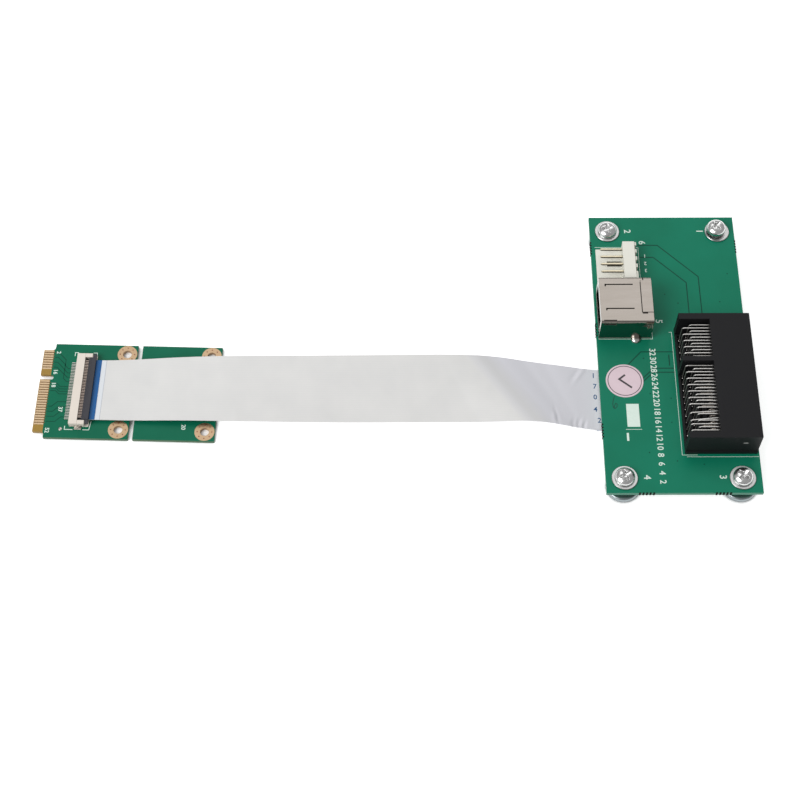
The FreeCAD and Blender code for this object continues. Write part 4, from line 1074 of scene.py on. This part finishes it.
def shield_marks(gap_shadow, fold_shadow):
    """Painted shade in the gaps on the shield's roof, beside its rear flap and over its side slot, and
    thin painted shadows of the lock tongue folded from its near wall."""
    gaps = [moved(printed(path, width, TRACE), (0, 0, SHIELD_ROOF)) for path, width in SHIELD_GAPS]
    piece("shield_gap_shade", gaps, gap_shadow)
    folds = [facing_front(printed(path, FINE_LINE, TRACE), (0, SHIELD_NEAR, 0)) for path in SHIELD_FOLDS]
    piece("shield_fold_shadows", folds, fold_shadow)


def label(paper, ink):
    """Round paper label with a thin printed ring and a plain tick."""
    disc = turned([(0, 0), (LABEL_RADIUS, 0), (LABEL_RADIUS, LABEL_THICKNESS - LABEL_SOFT),
                   (LABEL_RADIUS - LABEL_SOFT, LABEL_THICKNESS), (0, LABEL_THICKNESS)], LABEL_SEGMENTS)
    piece("round_label_paper", [moved(disc, (*LABEL_SPOT, 0))], paper, stands_for=["round_label"])
    inner, outer = LABEL_RING
    ring = turned([(inner, 0), (outer, 0), (outer, TRACE), (inner, TRACE), (inner, 0)], LABEL_SEGMENTS)
    marks = (ring, printed(LABEL_TICK, TICK_LINE, TRACE))
    piece("round_label_print", [moved(mark, (*LABEL_SPOT, LABEL_THICKNESS), -90) for mark in marks], ink)


# The whole object

camera()
studio()

board_mask = solder_mask("board_solder_mask", "#086d51", "#0f8165", "#45826c", "#5a957f", False)
card_mask = solder_mask("card_solder_mask", "#055c42", "#0b6f53", "#3f5f47", "#5c7a5b", True)
dark_mask = trace_mask()
finger_gold = plated("hard_gold_plate", "#b99c7c", "#d4be9f", 0.34, 1.2)
ring_gold = plated("soft_gold_plate", "#a88d6f", "#c6aa8a", 0.36, 1.2)
tin = plated("tin_plate", "#a09a92", "#cfcac2", 0.3, 0.9)
# Upright faces of the upper leads: partly bare sheared metal, partly painted shade
lead_tin = plated("tin_plate_with_painted_side_shade", "#b4b2af", "#e0deda", 0.28, 0.9, stamped=("#5f5d5a", 0.2))
# The lower leads' tin: a darker copy of the upper leads' tin, painted shade for their place deep in the
# slot
shaded_lead_tin = plated("lead_tin_with_painted_shade", "#a39a90", "#cfc6bc", 0.34, 0.9, stamped=("#3a3733", 0.2))
solder = plated("bright_solder", "#c0bcb7", "#e6e3df", 0.2, 0.9)
nickel = plated("nickel_plated_sheet", "#8a837b", "#a09993", 0.14, 2.5, 6.0)
zinc = plated("bright_zinc_plate", "#d2d2d2", "#f1f1f0", 0.22, 1.4)
washer_zinc = plated("dull_zinc_plate", "#a6a6a6", "#cbcbca", 0.32, 1.4)
foot_metal = plated("satin_nickel_plate", "#8d9699", "#abb3b6", 0.32, 1.4)
bronze = contact_metal()
# Upright faces of the header pins: partly bare sheared metal, partly painted shade
pale_gold = plated("gold_plate_with_painted_side_shade", "#b9af98", "#d4cab2", 0.25, 1.0, stamped=("#4a4335", 0.6))
ivory = moulded("ivory_nylon", "#dbd1c6", "#e6ddd2", 0.5, 6.0)
white_nylon = moulded("white_nylon", "#e2e1d7", "#ecebe1", 0.5, 6.0)
black = moulded("black_nylon", "#141416", "#1b1b1e", 0.5, 5.0, 0.2)
latch_grey = moulded("grey_black_nylon", "#36363c", "#424248", 0.5, 5.0, 0.3)
gap_shadow = moulded("sheet_gap_shadow", "#221f1c", "#302c29", 0.7, 1.0, 0.1)
fold_shadow = moulded("sheet_fold_shadow", "#5b4437", "#6e5648", 0.6, 1.0, 0.1)
# Lines between the card's contacts: resin brown deepened into painted shade
finger_shadow = moulded("contact_resin_with_painted_shade", "#5f4520", "#78592c", 0.6, 0.5, 0.2)
grey_mark = moulded("worn_black_nylon", "#8f918f", "#a9aba8", 0.6, 0.4)
# Dark plugs in the board's edge bites: painted shade
bite_shade = moulded("bite_painted_shade", "#0d120d", "#181d16", 0.8, 0.4, 0.1)
blue = stiffener_film()
paper = moulded("label_paper", "#d9c3cb", "#e2ced6", 0.6, 2.0)
ink = moulded("white_legend_ink", "#d2e6da", "#e6f3ea", 0.55, 1.0)
blue_ink = moulded("blue_print_ink", "#27527d", "#33618c", 0.6, 1.0)
pen_ink = moulded("green_black_pen_ink", "#16463a", "#1d5244", 0.5, 1.0, 0.2)
dark_ink = moulded("dark_label_ink", "#3a3438", "#4a4448", 0.6, 1.0)
# Dots round the card's rings: painted shade
brown = moulded("ring_hole_shadow", "#7a3f2a", "#96543a", 0.6, 0.5)

for node, material in (("main_board", board_mask), ("card_board", card_mask),
                       ("card_edge_contacts", finger_gold), ("shield_contacts", finger_gold),
                       ("card_end_stiffener", blue), ("board_end_stiffener", blue),
                       ("card_socket_contacts", bronze), ("board_socket_contacts", tin)):
    dressed(frame["nodes"][node].data, material)

flat_cable(polyester_film(), blue_ink)
card_rings(ring_gold, brown)
domes("card_test_point", TEST_POINT, [TEST_POINT_SPOT], tin, CARD)
finger_gaps(finger_shadow)
legend("card_legend", CARD_LINES, CARD_NUMBERS, ink, CARD)
strokes("card_traces", CARD_TRACKS, FINE_LINE, dark_mask, CARD)
contact_tips("card_contact_tips", CARD, CARD_MOUTH, bronze)
contact_tips("board_contact_tips", UNDER, BOARD_MOUTH, bronze)
screws(zinc)
washers(washer_zinc)
feet(foot_metal)
slot_leads("slot_upper_leads", UPPER_SPOTS, 1, lead_tin)
slot_leads("slot_lower_leads", LOWER_SPOTS, -1, shaded_lead_tin)
guide_web(black)
header_pins(pale_gold)
# Dark sheet on the board in the header's lock window: painted shade
strokes("power_header_lock_shade", [LOCK_WINDOW], LOCK_WIDTH, gap_shadow, height=INK)
solder_joints(tin)
domes("shield_solder_drop", SOLDER_DROP, [DROP_SPOT], solder)
# Bright domes at the upper leads' feet: painted highlights
domes("slot_lead_foot_highlights", LEAD_FOOT_HIGHLIGHT, LEAD_FOOT_HIGHLIGHT_SPOTS, solder)
legend("board_legend", BOARD_LINES, BOARD_NUMBERS, ink, BOARD)
strokes("board_traces", BOARD_TRACKS, TRACE_LINE, dark_mask)
domes("board_vias", VIA, BOARD_VIAS, dark_mask)
label(paper, dark_ink)
strokes("pen_scribble", [PEN_STROKE], FINE_LINE, pen_ink)
bites(bite_shade, board_mask)
piece("slot_gate_mark", [facing_front(dome(*GATE_MARK), GATE_SPOT, GATE_SQUASH)], grey_mark)
shield_marks(gap_shadow, fold_shadow)

for node, edge, material, slot in (
        ("slot_housing", 0.12, black, "black_plastic"), ("slot_lead_guide", 0.1, black, "black_plastic"),
        ("power_header_body", 0.1, white_nylon, "ivory_plastic"),
        ("shield_shell", 0.06, nickel, "nickel_sheet"), ("shield_core", 0.15, black, "black_plastic")):
    softened(node, edge, material, "base")
for part, edge, material, slot in (("housing", 0.05, ivory, "ivory_plastic"),
                                   ("latch", 0.08, latch_grey, "black_plastic"),
                                   ("tabs", 0.04, tin, "tin_plate")):
    for end in ("card", "board"):
        body = end + "_latch" if part == "latch" else "base"
        softened(f"{end}_socket_{part}", edge, material, body)
